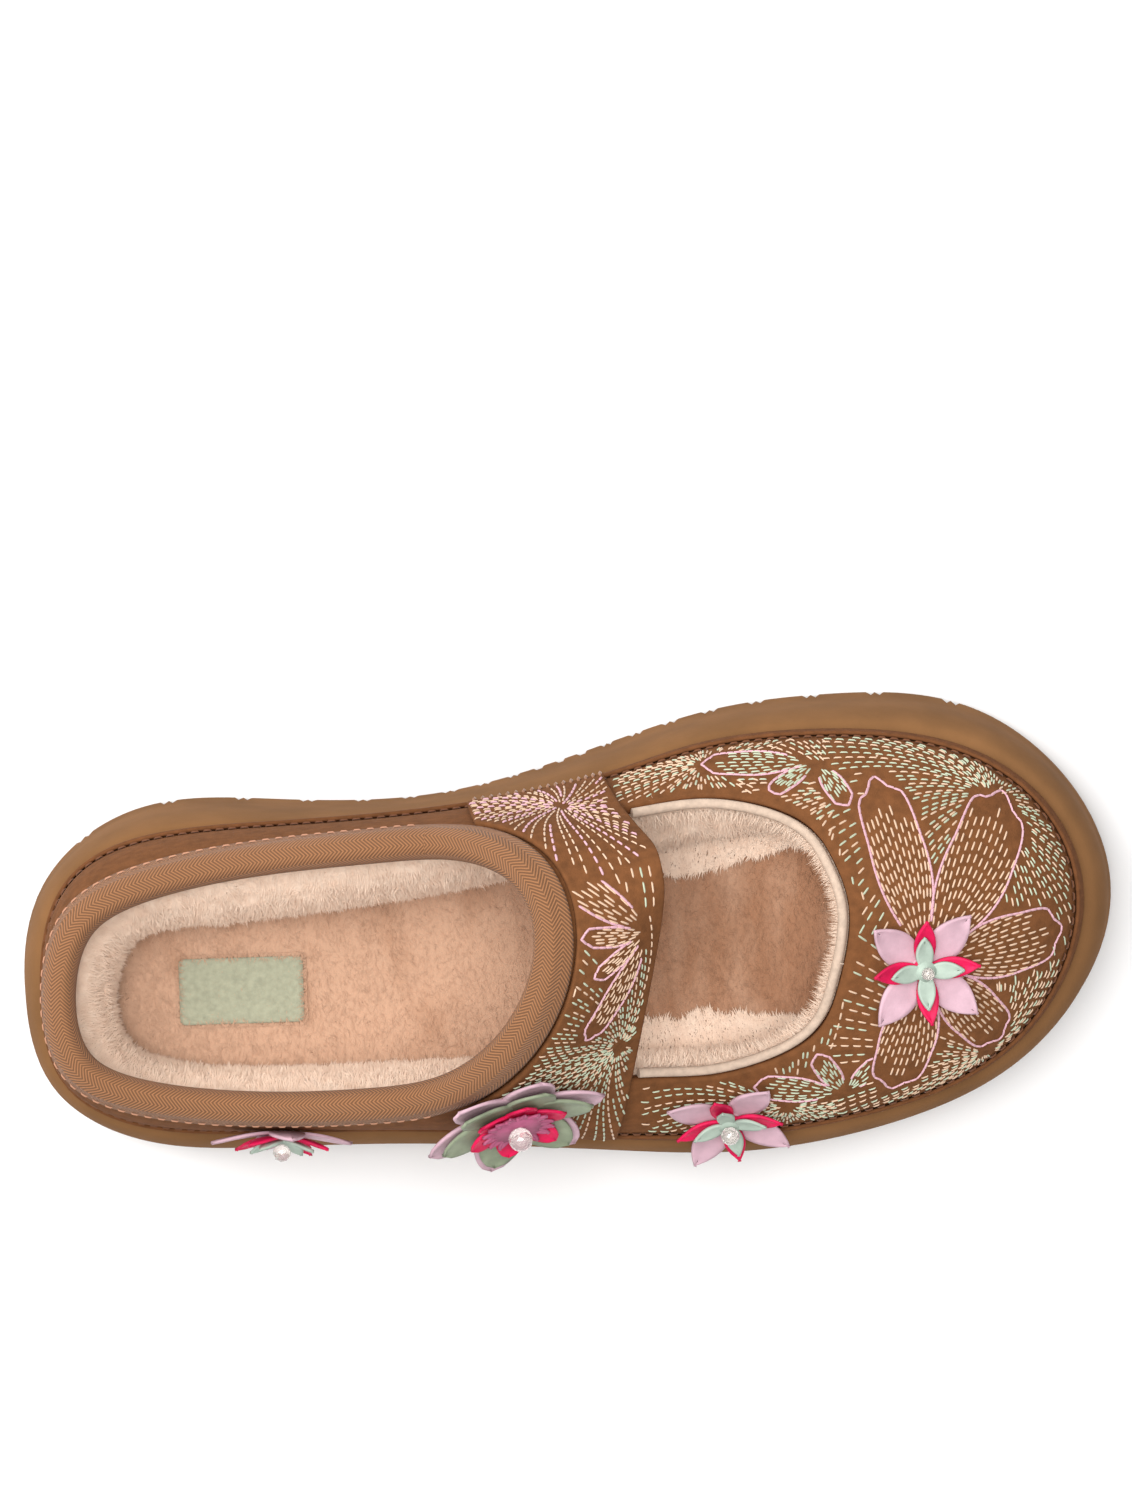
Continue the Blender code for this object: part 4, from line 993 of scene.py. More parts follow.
def make_piping():
    """Round cord on the throat's edge, with flat ends at the strap."""
    inset = PIPING_INSET * (THROAT[1] - THROAT[0])
    loop = np.linspace(THROAT[0] + inset, THROAT[1] - inset, PIPING_STEPS + 1)
    edge = wall(loop, 1.0)
    up = unit(edge - wall(loop, NEAR_EDGE))
    out = unit(np.cross(unit(np.gradient(edge, axis=0)), up))
    out *= np.sign((out * (edge - edge.mean(0))).sum(1))[:, None]
    middle = edge + up * (PIPING_RADIUS + GAP) - out * WALL / 2
    turns = np.arange(PIPING_SIDES) * 2 * math.pi / PIPING_SIDES
    spokes = np.cos(turns)[:, None] * up[:, None] + np.sin(turns)[:, None] * out[:, None]
    points = middle[:, None] + PIPING_RADIUS * PIPING_FULLNESS * spokes
    last = PIPING_STEPS * PIPING_SIDES
    faces = [tuple(range(PIPING_SIDES)), tuple(reversed(range(last, last + PIPING_SIDES)))]
    faces += tube_faces(PIPING_STEPS + 1, PIPING_SIDES)
    add_piece("cream_piping", points.reshape(-1, 3), faces, PIPING, "piping", ["throat_piping"])


def under_wall(u, v, depth):
    """Points this deep under the outer face of the upper's wall, square to it."""
    step = 0.002
    around = wall(u + step, v) - wall(u - step, v)
    upward = wall(u, v + step) - wall(u, v - step)
    return wall(u, v) - unit(np.cross(upward, around)) * depth


def pile_lines(sheet):
    """Back and face of the fleece: a roll from under the top edge, in over the insole and down onto it."""
    loop = sheet.loop
    strap = np.linspace(0, 1, STRAP_CELLS, endpoint=False)
    collar = np.concatenate([1 - strap, np.zeros(TOE_CELLS), strap, np.ones(HEEL_CELLS)])
    roll = np.outer(1 - collar, THROAT_ROLL) + np.outer(collar, COLLAR_ROLL)
    top = 1 - 0.1 * roll[:, 0] / np.linalg.norm(wall(loop, 1.0) - wall(loop, 0.9), axis=1)
    low = wall_share(loop, INSOLE_THICKNESS + GAP - SEAT_DEPTH + 2 * PILE_STANDING)
    depth = WALL + PILE_CLEARANCE
    back = [under_wall(loop, low + (top - low) * share, depth) for share in np.linspace(0, 1, BACK_LINES)]
    start, foot = back[-1], fleece_edge(loop) + [0, 0, PILE_STANDING]
    run, fall = (foot - start) * [1, 1, 0], (start - foot) * [0, 0, 1]
    bulge = start + run * roll[:, 1:2] - fall * roll[:, 2:3]
    heel = foot + run * FOOT_RUN + fall * FOOT_FALL
    t = np.linspace(0, 1, ROLL_LINES)[:, None, None]
    face = start * (1 - t) ** 3 + bulge * 3 * t * (1 - t) ** 2 + heel * 3 * t * t * (1 - t) + foot * t**3
    return np.array(back), face


def lumps(points, size, seed):
    """Cheap smooth noise, about -1..1, from a few waves."""
    waves = np.random.default_rng(seed).normal(size=(LUMP_WAVES, 3)) * 2 * math.pi / size
    phases = np.random.default_rng(seed + 1).uniform(0, 2 * math.pi, LUMP_WAVES)
    return np.sin(points @ waves.T + phases).mean(1) * LUMP_GAIN


def swelling(points, rows):
    """How far the tufts of these rows of lumps stand out at the points."""
    return sum(row.height * lumps(points, row.size, row.seed) for row in rows)


def number_of(fibre):
    return fibre.count


def combed(normals, comb):
    """Ways of fibres that lean from the normals along the comb."""
    return unit(normals * PILE_RISE + comb * PILE_LEAN)


def add_fibres(name, fibre, roots, ways, facing, material, slot):
    """Short blades of pile from roots along ways, each with its front to its own facing, in one mesh."""
    rng = np.random.default_rng(fibre.seed)
    count = len(roots)
    side = unit(np.cross(ways, facing + rng.normal(scale=BLADE_SCATTER, size=(count, 3))))
    side *= np.sign((np.cross(side, ways) * facing).sum(1))[:, None]
    drift = unit(rng.normal(size=(count, 3)))
    length = fibre.length * rng.uniform(*BLADE_LENGTHS, count)[:, None]
    middle = roots + ways * length * BLADE_MIDDLE + drift * length * fibre.bend * MIDDLE_BEND
    tip = roots + ways * length * BLADE_TIP + drift * length * fibre.bend
    half = side * fibre.width / 2
    waist = half * BLADE_TAPER
    blades = np.stack([roots - half, roots + half, middle - waist, middle + waist, tip], 1)
    first = np.arange(count)[:, None] * FIBRE_POINTS
    faces = np.concatenate([first + np.array(t) for t in ((0, 1, 3), (0, 3, 2), (2, 3, 4))]).tolist()
    normals = np.repeat(facing, FIBRE_POINTS, 0)
    add_piece(name, blades.reshape(-1, 3), faces, material, slot, smooth=False, normals=normals)


def scatter(grid, count, seed, closed=True):
    """Random points of a grid of lines, spread by area, with the normals there, which face its middle."""
    rng = np.random.default_rng(seed)
    a, b = grid[:-1], grid[1:]
    c, d = np.roll(b, -1, 1), np.roll(a, -1, 1)
    if not closed:
        a, b, c, d = (corner[:, :-1] for corner in (a, b, c, d))
    across = np.cross(c - a, d - b)
    area = np.linalg.norm(across, axis=-1)
    cell = rng.choice(area.size, count, p=(area / area.sum()).ravel())
    s, t = rng.uniform(size=(2, count, 1))
    a, b, c, d = (corner.reshape(-1, 3)[cell] for corner in (a, b, c, d))
    spots = a * (1 - s) * (1 - t) + b * s * (1 - t) + c * s * t + d * (1 - s) * t
    normals = unit(across.reshape(-1, 3)[cell] + 1e-9)
    return spots, normals * np.sign((normals * (grid.mean(axis=(0, 1)) - spots)).sum(1).mean())


def make_lining(sheet):
    """Cream fleece inside the upper: a lumpy roll with loose fibres."""
    back, grid = pile_lines(sheet)
    flat = grid.reshape(-1, 3)
    around = np.roll(grid, -1, 1) - np.roll(grid, 1, 1)
    facing = unit(np.cross(np.gradient(grid, axis=0), around).reshape(-1, 3))
    facing *= np.sign((facing * (grid.mean(axis=(0, 1)) - flat)).sum(1).mean())
    depth = np.repeat(np.sin(np.linspace(0, math.pi, ROLL_LINES)) ** 0.5, sheet.rows)
    grid = (flat + facing * (swelling(flat, ROLL_LUMPS) * depth)[:, None]).reshape(grid.shape)
    lines = np.concatenate([grid, back[:-1]])
    faces = tube_faces(len(lines), sheet.rows) + ring_faces((len(lines) - 1) * sheet.rows, 0, sheet.rows)
    add_piece("fleece_roll", lines.reshape(-1, 3), faces, FLEECE, "pile", ["lining"])
    spots, normals = scatter(grid, number_of(ROLL_FIBRE), ROLL_SEED)
    swirl = np.cross(normals, np.column_stack([lumps(spots, SWIRL_SIZE, seed) for seed in SWIRL_SEEDS]))
    down = normals * normals[:, 2:] - [0, 0, 1]
    comb = unit(down + SWIRL * swirl + dice.normal(scale=COMB_SCATTER, size=normals.shape))
    roots, facing = spots - normals * FIBRE_SINK, unit(normals + [0, 0, PILE_FACES_UP])
    add_fibres("fleece_pile", ROLL_FIBRE, roots, combed(normals, comb), facing, FLEECE, "pile")


def make_hem():
    """Short pile that lies in over the insole from the fleece's foot, inside the throat."""
    count = number_of(HEM_FIBRE)
    rng = np.random.default_rng(HEM_SEED)
    loop = rng.uniform(*THROAT, count)
    reach = np.interp(loop, [KNOT_OF[name] for name in HEM], list(HEM.values()))
    foot = fleece_edge(loop)
    inward = np.column_stack([inward_way(section(loop)), np.zeros(count)])
    reach *= rng.uniform(*HEM_SPREAD, count) * (1 + swelling(foot, HEM_LUMPS))
    roots = foot + inward * reach[:, None] + [0, 0, HEM_STANDING]
    ways = unit(inward + rng.normal(scale=HEM_SCATTER, size=inward.shape) * [1, 1, 0] + [0, 0, HEM_RISE])
    facing = np.tile([0.0, 0.0, 1.0], (count, 1))
    add_fibres("fleece_hem", HEM_FIBRE, roots, ways, facing, FLEECE, "pile")


def make_fringe():
    """Pile of the vamp's lining, standing out from under the throat's piping."""
    count = number_of(FRINGE_FIBRE)
    loop = dice.uniform(*THROAT, count)
    depth = dice.uniform(0.0, FRINGE_DEPTH, count)[:, None]
    edge, under = wall(loop, 1.0), wall(loop, 0.9)
    into = -np.column_stack([unit(under - edge)[:, :2], np.zeros(count)])
    roots = under_wall(loop, FRINGE_START, WALL + FRINGE_CLEARANCE) - [0, 0, 1] * depth
    ways = unit(into + dice.normal(scale=FRINGE_SCATTER, size=into.shape) - [0, 0, FRINGE_DROOP])
    facing = unit(into * FRINGE_FACES_IN + [0, 0, 1.0])
    add_fibres("throat_fringe", FRINGE_FIBRE, roots, ways, facing, FLEECE, "pile")


def make_strap_lining(sheet):
    """Fleece on the underside of the strap, down to the lining of the walls."""
    rows = range(STRAP_LINING_BACK, STRAP_CELLS)
    far = 2 * STRAP_CELLS + TOE_CELLS
    turned = range(WALL_CELLS - STRAP_LINING_TURN, WALL_CELLS)
    numbers = np.array([
        [sheet.at(i, j) for j in turned]
        + [sheet.over(i, k) for k in range(ARCH_CELLS + 1)]
        + [sheet.at(far - i, j) for j in reversed(turned)]
        for i in rows
    ])
    grid = sheet.points[numbers] - sheet.normals[numbers] * (WALL + STRAP_LINING_DEPTH)
    swell = swelling(grid.reshape(-1, 3), STRAP_LUMPS).reshape(*numbers.shape, 1)
    grid = grid + sheet.normals[numbers] * swell
    faces = grid_faces(*numbers.shape)
    backing = add_piece("fleece_under_strap", grid.reshape(-1, 3), faces, FLEECE, "pile")
    solidify(backing, STRAP_LINING, outward=False)
    spots, normals = scatter(grid, number_of(STRAP_FIBRE), STRAP_SEED, closed=False)
    rng = np.random.default_rng(STRAP_COMB_SEED)
    comb = unit(np.cross(normals, rng.normal(scale=STRAP_SCATTER, size=normals.shape) + [0, 1, 0]))
    roots = spots - normals * FIBRE_SINK
    add_fibres("strap_pile", STRAP_FIBRE, roots, combed(normals, comb), normals, FLEECE, "pile")


def label_border(count):
    """Points spread round the label's edge, with the ways in over it."""
    axes, half = label_axes(), np.array(LABEL_SIZE) / 2
    side = dice.choice(4, count, p=np.repeat(half, 2) / half.sum() / 2)
    across, way = 1 - side // 2, 1 - 2.0 * (side % 2)
    flat = dice.uniform(-1, 1, (count, 2)) * half
    flat[np.arange(count), across] = way * half[across]
    spots = flat @ axes + [*LABEL_CENTRE, 0.0]
    spots[:, 2] = insole_height(spots[:, 0])
    return spots, -way[:, None] * axes[across]


def make_footbed_nap():
    """Brushed fibres lying over the footbed inside the lining."""
    count = number_of(NAP_FIBRE)
    u = dice.uniform(0, 1, count)
    edge = fleece_edge(u)
    other = fleece_edge(1 - u)
    share = dice.uniform(0, 0.5, count)[:, None]
    roots = edge + (other - edge) * share
    roots[:, 2] = insole_height(roots[:, 0])
    ways = unit(np.column_stack([
        dice.normal(*NAP_AHEAD, count), dice.normal(*NAP_ASIDE, count), dice.uniform(*NAP_RISE, count),
    ]))
    border, inward = label_border(number_of(BORDER_FIBRE))
    spread = dice.normal(scale=BORDER_SCATTER, size=inward.shape) * [1, 1, 0]
    over = unit(inward + spread + [0, 0, BORDER_RISE])
    roots = np.concatenate([roots, border - inward * BORDER_OUTSET + [0, 0, BORDER_LIFT]])
    ways = np.concatenate([ways, over])
    facing = np.tile([0.0, 0.0, 1.0], (len(roots), 1))
    add_fibres("footbed_nap", NAP_FIBRE, roots, ways, facing, NAP, "fleece")


# Thread


def stitches(name, starts, ends, normals, radius, material, slot):
    """Each stitch a short thread that rises from the surface and dips in again, all in one mesh."""
    starts, ends, normals = (np.asarray(x, float) for x in (starts, ends, normals))
    way = ends - starts
    side = unit(np.cross(normals, way)) * radius
    up = unit(normals) * radius
    spokes = np.stack([side, up, -side, -up * STITCH_FLATNESS], 1)
    rings = [
        (starts + way * ring.share + up * ring.lift)[:, None] + spokes * ring.size for ring in STITCH_RINGS
    ]
    size = len(STITCH_RINGS) * STITCH_SIDES
    template = [face[::-1] for face in tube_faces(len(STITCH_RINGS), STITCH_SIDES)]
    template += [range(STITCH_SIDES)[::-1], range(size - STITCH_SIDES, size)]
    first = np.arange(len(starts))[:, None, None] * size
    faces = (first + np.array(template)).reshape(-1, STITCH_SIDES).tolist()
    add_piece(name, np.stack(rings, 1).reshape(-1, 3), faces, material, slot)


def along_path(places, length, values):
    """Values at these places along a path that has these lengths at its points."""
    return np.column_stack([np.interp(places, length, values[:, k]) for k in range(3)])


def dashes(path, normals, stitch):
    """Starts, ends and normals of stitches along a path."""
    length = lengths(path)
    places = np.arange(0, length[-1] - stitch.dash, stitch.dash + stitch.gap)
    return (
        along_path(places, length, path),
        along_path(places + stitch.dash, length, path),
        along_path(places + stitch.dash / 2, length, normals),
    )


class Canvas:
    """The suede that is embroidered: the vamp in front of the strap, and the strap's own cover."""

    def __init__(self, sheet):
        strap = set(sheet.strap_faces())
        lifted = sheet.points + sheet.normals * (GAP + STRAP_COVER)
        self.vamp = BVHTree.FromPolygons(sheet.points.tolist(), [f for f in sheet.faces if f not in strap])
        self.strap = BVHTree.FromPolygons(lifted.tolist(), sorted(strap))
        self.throat = self.kd(wall(np.linspace(*THROAT, THROAT_POINTS), 1.0))
        self.tape = self.kd(sheet.points[sheet.collar()])
        self.strap_front = self.kd(arch(1.0, np.linspace(0, 1, STRAP_FRONT_POINTS)))
        self.strap_foot = self.kd(wall(np.linspace(*MEDIAL_STRAP, STRAP_FOOT_POINTS), STRAP_FOOT))
        self.taken, self.sewn = set(), set()

    @staticmethod
    def kd(points):
        tree = KDTree(len(points))
        for i, point in enumerate(points):
            tree.insert(Vector(point), i)
        tree.balance()
        return tree

    def touch(self, point, motif):
        """The suede under a point of a motif, or None off the canvas and near its edges."""
        tree = self.strap if motif.on_strap else self.vamp
        toward = Vector(motif.toward)
        spot, normal = tree.ray_cast(Vector(point) - toward * RAY_START, toward, RAY_LENGTH)[:2]
        if spot is None:
            return None
        if normal.dot(toward) > 0:
            normal = -normal
        if -normal.dot(toward) < LEAST_FACING or not self.clear(spot, motif.on_strap):
            return None
        return np.array(spot), np.array(normal)

    def clear(self, spot, on_strap):
        """Whether a spot of the suede is off the canvas's edges."""
        if on_strap:
            near = (
                self.tape.find(spot)[2] < TAPE_MARGIN
                or self.strap_front.find(spot)[2] < STRAP_MARGIN
                or self.strap_foot.find(spot)[2] < WHIP_LENGTH + WHIP_MARGIN
            )
        else:
            near = self.throat.find(spot)[2] < THROAT_MARGIN or spot.x < VAMP_START
        return not near and spot.z > float(rim(np.array([spot.x]))[0]) + FOXING_HEIGHT + FOXING_MARGIN

    def crowded(self, spot, on_strap):
        """Whether a stitch lies at a spot or beside it."""
        _, i, j, k = self.cell(spot, on_strap)
        beside = ((0, 0, 0), (1, 0, 0), (-1, 0, 0), (0, 1, 0), (0, -1, 0), (0, 0, 1), (0, 0, -1))
        return any((on_strap, i + x, j + y, k + z) in self.sewn for x, y, z in beside)

    def cell(self, spot, on_strap):
        return on_strap, *(round(c * CELLS_PER_MM) for c in spot)

    def claim(self, points, motif):
        """Keeps later motifs off the suede under these points."""
        found = (self.touch(point, motif) for point in points)
        self.taken |= {self.cell(hit[0], motif.on_strap) for hit in found if hit}


class Thread:
    """Collects stitches of one colour."""

    def __init__(self):
        self.starts, self.ends, self.normals = [], [], []

    def run(self, canvas, path, motif, stitch):
        """Running stitch along a path of points held over the suede, as far as the suede is free."""
        length = lengths(path)
        place = dice.uniform(0, stitch.dash + stitch.gap)
        while place + stitch.dash < length[-1]:
            ends = along_path((place, place + stitch.dash), length, path)
            found = [canvas.touch(p, motif) for p in ends]
            place += stitch.dash + stitch.gap
            if any(f is None for f in found):
                continue
            if np.linalg.norm(found[0][0] - found[1][0]) > LONGEST_STITCH * stitch.dash:
                continue
            cells = {canvas.cell(f[0], motif.on_strap) for f in found}
            if not cells & canvas.taken:
                self.sew(*found[0], *found[1])
                canvas.sewn |= cells

    def sew(self, start, start_out, end, end_out):
        self.starts.append(start)
        self.ends.append(end)
        self.normals.append(start_out + end_out)

    def echo(self, canvas, path, on_strap):
        """Running stitch along a path on the suede, wherever no stitch lies yet."""
        tree = canvas.strap if on_strap else canvas.vamp
        cells = set()
        for start, end in zip(*dashes(path, path, RUNNING)[:2]):
            found = [tree.find_nearest(Vector(p))[:2] for p in (start, (start + end) / 2, end)]
            spots = [spot for spot, _ in found]
            if all(canvas.clear(p, on_strap) and not canvas.crowded(p, on_strap) for p in spots):
                self.sew(*(np.array(v) for v in found[0] + found[2]))
                cells |= {canvas.cell(p, on_strap) for p in spots}
        canvas.sewn |= cells


class Motif:
    """A blossom's or a tuft's place on the suede, with its own axes there."""

    def __init__(self, canvas, row):
        target = Vector((row.along, row.side, row.height))
        hits = [tree.find_nearest(target) for tree in (canvas.vamp, canvas.strap)]
        self.on_strap = hits[1][3] < hits[0][3] and row.along < STRAP_END
        spot, out = hits[1][:2] if self.on_strap else hits[0][:2]
        ahead = (Vector((1, 0, 0)) - out * out.x).normalized()
        self.spot, self.ahead, self.toward = np.array(spot), np.array(ahead), -np.array(out)
        self.aside = np.array(out.cross(ahead))

    def polar(self, angle, radius):
        angle, radius = np.broadcast_arrays(angle, radius)
        flat = np.outer(np.cos(angle) * radius, self.ahead) + np.outer(np.sin(angle) * radius, self.aside)
        return self.spot + flat


def petal_line(motif, petal, share, reach):
    """Points at a share -1..1 across a stitched petal, at reaches 0..1 along it."""
    width = PETAL_ENDS + PETAL_BELLY * np.sin(math.pi * np.clip(reach, 0, 1) ** BELLY_SHIFT)
    spread = math.radians(petal.spread) * share * width
    top = 1 - TIP_DROP * np.abs(share) ** TIP_POWER + SCALLOP * np.cos(SCALLOPS * math.pi * share)
    return motif.polar(math.radians(petal.direction) + spread, petal.reach * reach * top)


def throat_lines(sheet):
    """Lines over the vamp that keep their distance from the throat's edge."""
    loop = sheet.loop[STRAP_CELLS : STRAP_CELLS + TOE_CELLS + 1]
    columns = np.array([wall(loop, share) for share in np.linspace(1, 0, DEPTH_POINTS)])
    depth = np.cumsum(np.linalg.norm(np.diff(columns, axis=0), axis=2), axis=0)[-1]
    return [wall(loop, np.clip(1 - far / depth, 0, 1)) for far in np.arange(*THROAT_LINES)]


def strap_lines():
    """Lines over the strap, from its medial foot to its lateral one."""
    rise = np.linspace(STRAP_LINE_FOOT, 1, RISE_POINTS)
    for t in np.arange(*STRAP_LINES):
        medial, lateral = strap_ends(t)
        sides = [np.array([wall(u, v)[0] for v in rise]) for u in (medial, lateral)]
        yield np.concatenate([sides[0][:-1], arch(t, np.linspace(0, 1, ARCH_POINTS)), sides[1][-2::-1]])


def sew_blossom(blossom, canvas, threads):
    """Petals of running stitch inside an outline. Later motifs keep off them."""
    motif = Motif(canvas, blossom)
    ray, outline = (threads[name] for name in blossom.threads)
    along, across = np.linspace(LONG_RAY, 1, RAY_POINTS), np.linspace(-1, 1, TIP_POINTS)
    for petal in blossom.petals:
        for k, share in enumerate(np.linspace(-RAY_SPAN, RAY_SPAN, blossom.rays)):
            reach = along[(along > SHORT_RAY * (k % 2)) & (along < dice.uniform(*RAY_ENDS))]
            ray.run(canvas, petal_line(motif, petal, share, reach), motif, RUNNING)
        tip = petal_line(motif, petal, across, np.ones_like(across))
        sides = [petal_line(motif, petal, share, along[along > BORDER_START]) for share in (-1.0, 1.0)]
        border = np.concatenate([sides[0], tip[1:-1], sides[1][::-1]])
        outline.run(canvas, border, motif, OUTLINE)
    for petal in blossom.petals:
        for share in np.linspace(-1, 1, CLAIM_LINES):
            reach = np.linspace(0, PETAL_CLAIM, CLAIM_POINTS)
            canvas.claim(petal_line(motif, petal, share, reach), motif)


def sew_tuft(tuft, canvas, threads):
    """Curved rays of running stitch from one spot, which start at different distances from it."""
    motif = Motif(canvas, tuft)
    for i in range(tuft.rays):
        angle = 2 * math.pi * (i + dice.uniform(-TUFT_SCATTER, TUFT_SCATTER)) / tuft.rays
        start = TUFT_START + SECOND_RAY * (i % 2) + FOURTH_RAY * (i % 4 == 1)
        radius = np.linspace(start, dice.uniform(*TUFT_ENDS), TUFT_POINTS) * tuft.reach
        thread = threads[tuft.threads[i % 3 == 0]]
        thread.run(canvas, motif.polar(angle + TUFT_CURL * radius, radius), motif, TUFT_RUNNING)
    for radius in np.arange(0, TUFT_CLAIM * tuft.reach, TUFT_CLAIM_STEP):
        angles = np.linspace(0, 2 * math.pi, LEAST_CLAIMS + int(CLAIMS_PER_MM * radius))
        canvas.claim(motif.polar(angles, radius), motif)


def make_embroidery(sheet):
    """Blossoms and tufts over the vamp and the strap, and lines that follow their edges between."""
    canvas = Canvas(sheet)
    threads = {name: Thread() for name in ("peach", "pink", "sage")}
    for blossom in BLOSSOMS:
        sew_blossom(blossom, canvas, threads)
    canvas.sewn |= canvas.taken
    for tuft in TUFTS:
        sew_tuft(tuft, canvas, threads)
    for i, path in enumerate(throat_lines(sheet)):
        threads["sage" if i % 3 == 2 else "peach"].echo(canvas, path, False)
    for i, path in enumerate(strap_lines()):
        threads["sage" if i % 3 == 1 else "peach"].echo(canvas, path, True)
    slots = (("peach", RUNNING, "piping"), ("pink", OUTLINE, "petal_pale"), ("sage", RUNNING, "petal_mint"))
    for name, stitch, slot in slots:
        sewn = threads[name].starts, threads[name].ends, threads[name].normals
        stitches(f"{name}_embroidery", *sewn, stitch.radius, THREADS[name], slot)


def make_seams(sheet, tape_low):
    """Seam stitches: on the foxing's top, along the tape, and whipped over the strap's medial foot."""
    loop = np.append(sheet.loop, sheet.loop[0] + 1)
    above = wall(loop, wall_share(loop, FOXING_HEIGHT + 2 * GAP + FOXING_SEAM_RISE))
    outward = np.column_stack([-inward_way(section(loop)), np.full(len(loop), SEAM_TILT)])
    seam = dashes(above + unit(outward) * SEAM_LIFT, outward, FOXING_SEAM)
    stitches("foxing_seam", *seam, FOXING_SEAM.radius, THREADS["brown"], "foxing_suede")

    _, out, onto = collar_frame(sheet)
    line = (tape_low - onto * TAPE_SEAM_INSET + out * TAPE_SEAM_LIFT)[ARCH_CELLS:]
    seam = dashes(line, out[ARCH_CELLS:], TAPE_SEAM)
    stitches("tape_seam", *seam, TAPE_SEAM.radius, THREADS["seam"], "foxing_suede")

    loop = np.linspace(*(strap_ends(t)[0] for t in WHIP_SPAN), WHIP_COUNT)
    share = 1 / np.linalg.norm(wall(loop, 1.0) - wall(loop, 0.0), axis=1)
    over = GAP + STRAP_COVER + WHIP_LIFT
    top = under_wall(loop, STRAP_FOOT + WHIP_LENGTH * share, -over)
    corner = under_wall(loop + WHIP_LEAN, STRAP_FOOT - WHIP_CORNER * share, -over)
    foot = under_wall(loop + 2 * WHIP_LEAN, STRAP_FOOT - WHIP_FOOT * share, -WHIP_LIFT)
    out = unit(top - under_wall(loop, STRAP_FOOT + WHIP_LENGTH * share, 0.0))
    starts, ends = np.concatenate([top, corner]), np.concatenate([corner, foot])
    normals = np.concatenate([out, out - [0, 0, WHIP_TILT]])
    stitches("strap_whip_stitch", starts, ends, normals, WHIP_RADIUS, THREADS["whip"], "foxing_suede")


# Flowers


def petal_grids(layer):
    """Points and faces of one layer: creased, cupped petals, widest past their middle, on a round core."""
    reach, across = np.linspace(0, 1, PETAL_ROWS)[:, None], np.linspace(-1, 1, PETAL_COLUMNS)
    waist = (PETAL_ROOT + (1 - PETAL_ROOT) * reach) ** PETAL_FULLNESS
    side = layer.half_width * np.sin(math.pi * waist) ** layer.blunt * across
    radius = layer.tip * reach
    points, faces = [], []
    for p in range(layer.petals):
        scatter_turn = dice.uniform(-TURN_SCATTER, TURN_SCATTER)
        turn = math.radians(layer.turn + 360 * p / layer.petals + scatter_turn)
        lift = dice.uniform(-LIFT_SCATTER, LIFT_SCATTER) * (layer.petals < FEW_PETALS)
        height = (layer.cup + lift) * reach**2 + EDGE_CURL * np.abs(across) ** CURL_POWER * reach
        points.append(np.column_stack([
            (radius * math.cos(turn) - side * math.sin(turn)).ravel(),
            (radius * math.sin(turn) + side * math.cos(turn)).ravel(),
            height.ravel(),
        ]))
        faces += grid_faces(PETAL_ROWS, PETAL_COLUMNS, p * side.size)
    around = np.arange(CORE_SIDES) * 2 * math.pi / CORE_SIDES
    core = np.column_stack([np.cos(around), np.sin(around), np.zeros(CORE_SIDES)]) * layer.core
    points.append(core + [0, 0, layer.cup * (layer.core / layer.tip) ** 2])
    first = layer.petals * side.size
    faces.append(tuple(range(first, first + CORE_SIDES)))
    return np.concatenate(points), faces


def make_flower(flower, tree):
    """A stack of petal layers on the upper, square to it, with a bead on top."""
    spot, out = tree.find_nearest(Vector((flower.along, flower.side, flower.height)))[:2]
    ahead = (Vector((1, 0, 0)) - out * out.x).normalized()
    facing = np.array(Matrix((ahead, out.cross(ahead), out)).transposed())
    turn = np.array(Matrix.Rotation(math.radians(flower.turn), 3, "Z"))
    step = PETAL_THICKNESS + GAP
    stem = np.array(spot) + np.array(out) * flower.stand_off
    for i, layer in enumerate(flower.layers):
        points, faces = petal_grids(layer)
        points[:, 2] += i * step
        points = points @ (facing @ turn).T + stem
        name = f"{flower.name}_flower_{layer.name}"
        petals = add_piece(f"{name}_leather", points, faces, PETALS[layer.look], layer.look, [name])
        solidify(petals, PETAL_THICKNESS, outward=True)
    height = len(flower.layers) * step + flower.bead
    make_bead(flower, stem + np.array(out) * height)


def make_bead(flower, middle):
    """Cut glass bead, in flat facets."""
    rings, segments = BIG_CUT if flower.layers is ROUND_LAYERS else SMALL_CUT
    points = [(0, 0, 1.0)]
    for i in range(1, rings):
        width, height = math.sin(math.pi * i / rings), math.cos(math.pi * i / rings)
        for k in range(segments):
            around = 2 * math.pi * (k + 0.5 * (i % 2)) / segments
            points.append((width * math.cos(around), width * math.sin(around), height))
    points.append((0, 0, -1.0))
    last = len(points) - 1
    faces = []
    for k in range(segments):
        n = (k + 1) % segments
        faces += [(0, 1 + k, 1 + n), (last, last - segments + n, last - segments + k)]
        for i in range(rings - 2):
            a, b = 1 + i * segments, 1 + (i + 1) * segments
            if i % 2:
                faces += [(a + k, b + k, a + n), (a + n, b + k, b + n)]
            else:
                faces += [(a + k, b + k, b + n), (a + k, b + n, a + n)]
    points = np.array(points) * flower.bead + middle
    name = f"{flower.name}_flower_bead"
    add_piece(f"{name}_glass", points, faces, BEAD, "bead", [name], smooth=False)


# Studio


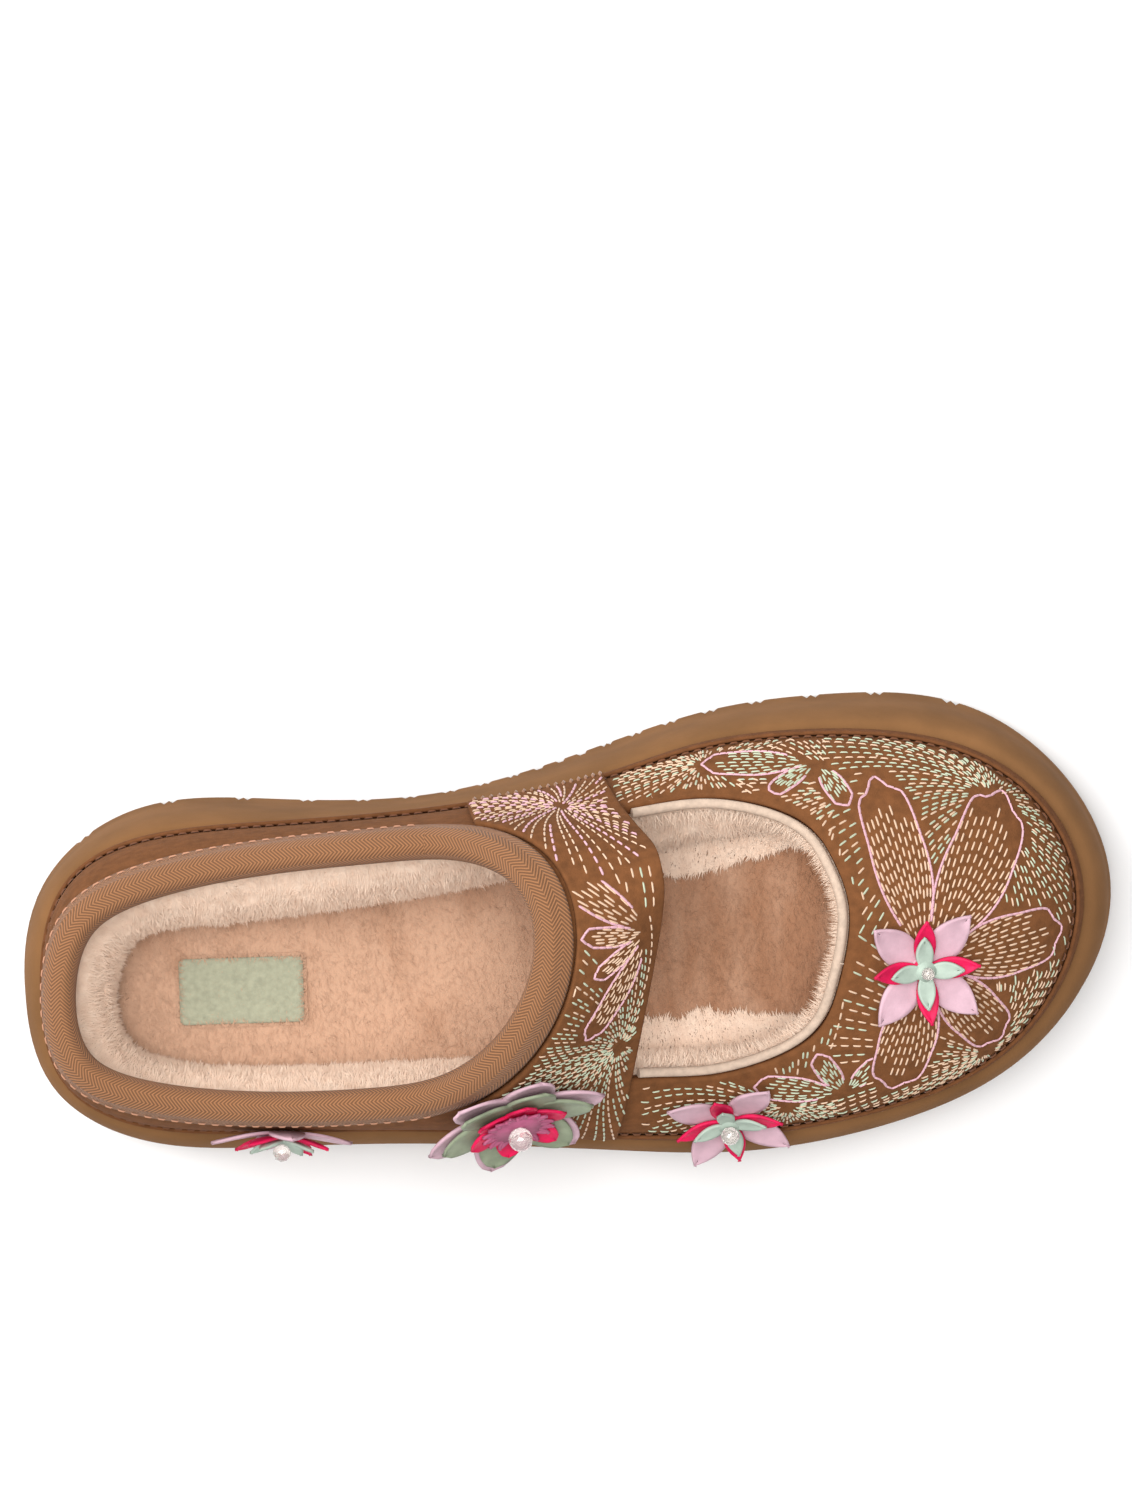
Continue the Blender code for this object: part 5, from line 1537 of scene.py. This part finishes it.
def make_floor():
    mesh = bpy.data.meshes.new("floor")
    corners = ((-1, -1), (1, -1), (1, 1), (-1, 1))
    mesh.from_pydata([(x * FLOOR_REACH, y * FLOOR_REACH, 0) for x, y in corners], [], [(0, 1, 2, 3)])
    paper = bpy.data.materials.new("paper")
    paper.use_nodes = True
    shader = paper.node_tree.nodes["Principled BSDF"]
    shader.inputs["Base Color"].default_value = FLOOR_COLOUR
    shader.inputs["Roughness"].default_value = 1.0
    mesh.materials.append(paper)
    floor = bpy.data.objects.new("floor", mesh)
    bpy.context.scene.collection.objects.link(floor)
    floor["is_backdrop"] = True


def make_lights():
    world = bpy.data.worlds.new("studio")
    world.use_nodes = True
    background = world.node_tree.nodes["Background"]
    background.inputs["Color"].default_value = SKY_COLOUR
    background.inputs["Strength"].default_value = SKY_STRENGTH
    bpy.context.scene.world = world
    for row in LIGHTS:
        light = bpy.data.lights.new(row.name, "AREA")
        light.size = row.size
        light.energy = row.power
        lamp = bpy.data.objects.new(row.name, light)
        lamp.location = row.place
        lamp.rotation_euler = (Vector(LIGHTS_AIM) - Vector(row.place)).to_track_quat("-Z", "Y").to_euler()
        bpy.context.scene.collection.objects.link(lamp)


def make_camera():
    tilt, roll = math.radians(TILT), math.radians(ROLL)
    back = Vector((0, math.sin(tilt), math.cos(tilt)))
    level_up = Vector((0, math.cos(tilt), -math.sin(tilt)))
    ahead = Vector((1, 0, 0))
    right = math.cos(roll) * ahead - math.sin(roll) * level_up
    up = math.sin(roll) * ahead + math.cos(roll) * level_up
    focal = PIXELS_PER_MM * DISTANCE
    lower = math.atan2(AIM_PIXEL[1] - PICTURE[1] / 2, focal)
    forward = -back * math.cos(lower) + up * math.sin(lower)
    raised = up * math.cos(lower) + back * math.sin(lower)
    data = bpy.data.cameras.new("camera")
    data.lens = data.sensor_width * focal / max(PICTURE)
    data.clip_end = FAR_CLIP
    camera = bpy.data.objects.new("camera", data)
    pose = Matrix((right, raised, -forward)).transposed().to_4x4()
    pose.translation = (Vector(AIM) + Vector(SHIFT) + back * DISTANCE) * MM
    camera.matrix_world = pose
    bpy.context.scene.collection.objects.link(camera)
    bpy.context.scene.camera = camera
    bpy.context.scene.view_settings.view_transform = "Standard"


def main():
    sheet = UpperSheet()
    tree = sheet.tree()
    make_sole()
    make_insole()
    make_label()
    make_upper(sheet)
    make_foxing(sheet)
    tape_low = make_binding(sheet, tree)
    make_piping()
    make_lining(sheet)
    make_fringe()
    make_hem()
    make_strap_lining(sheet)
    make_footbed_nap()
    make_embroidery(sheet)
    make_seams(sheet, tape_low)
    for flower in FLOWERS:
        make_flower(flower, tree)
    make_floor()
    make_lights()
    make_camera()
    sizes = {"cad": cad_bounds, "visual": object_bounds()}
    {k: [[float(x) for x in corner] for corner in v] for k, v in sizes.items()}


main()
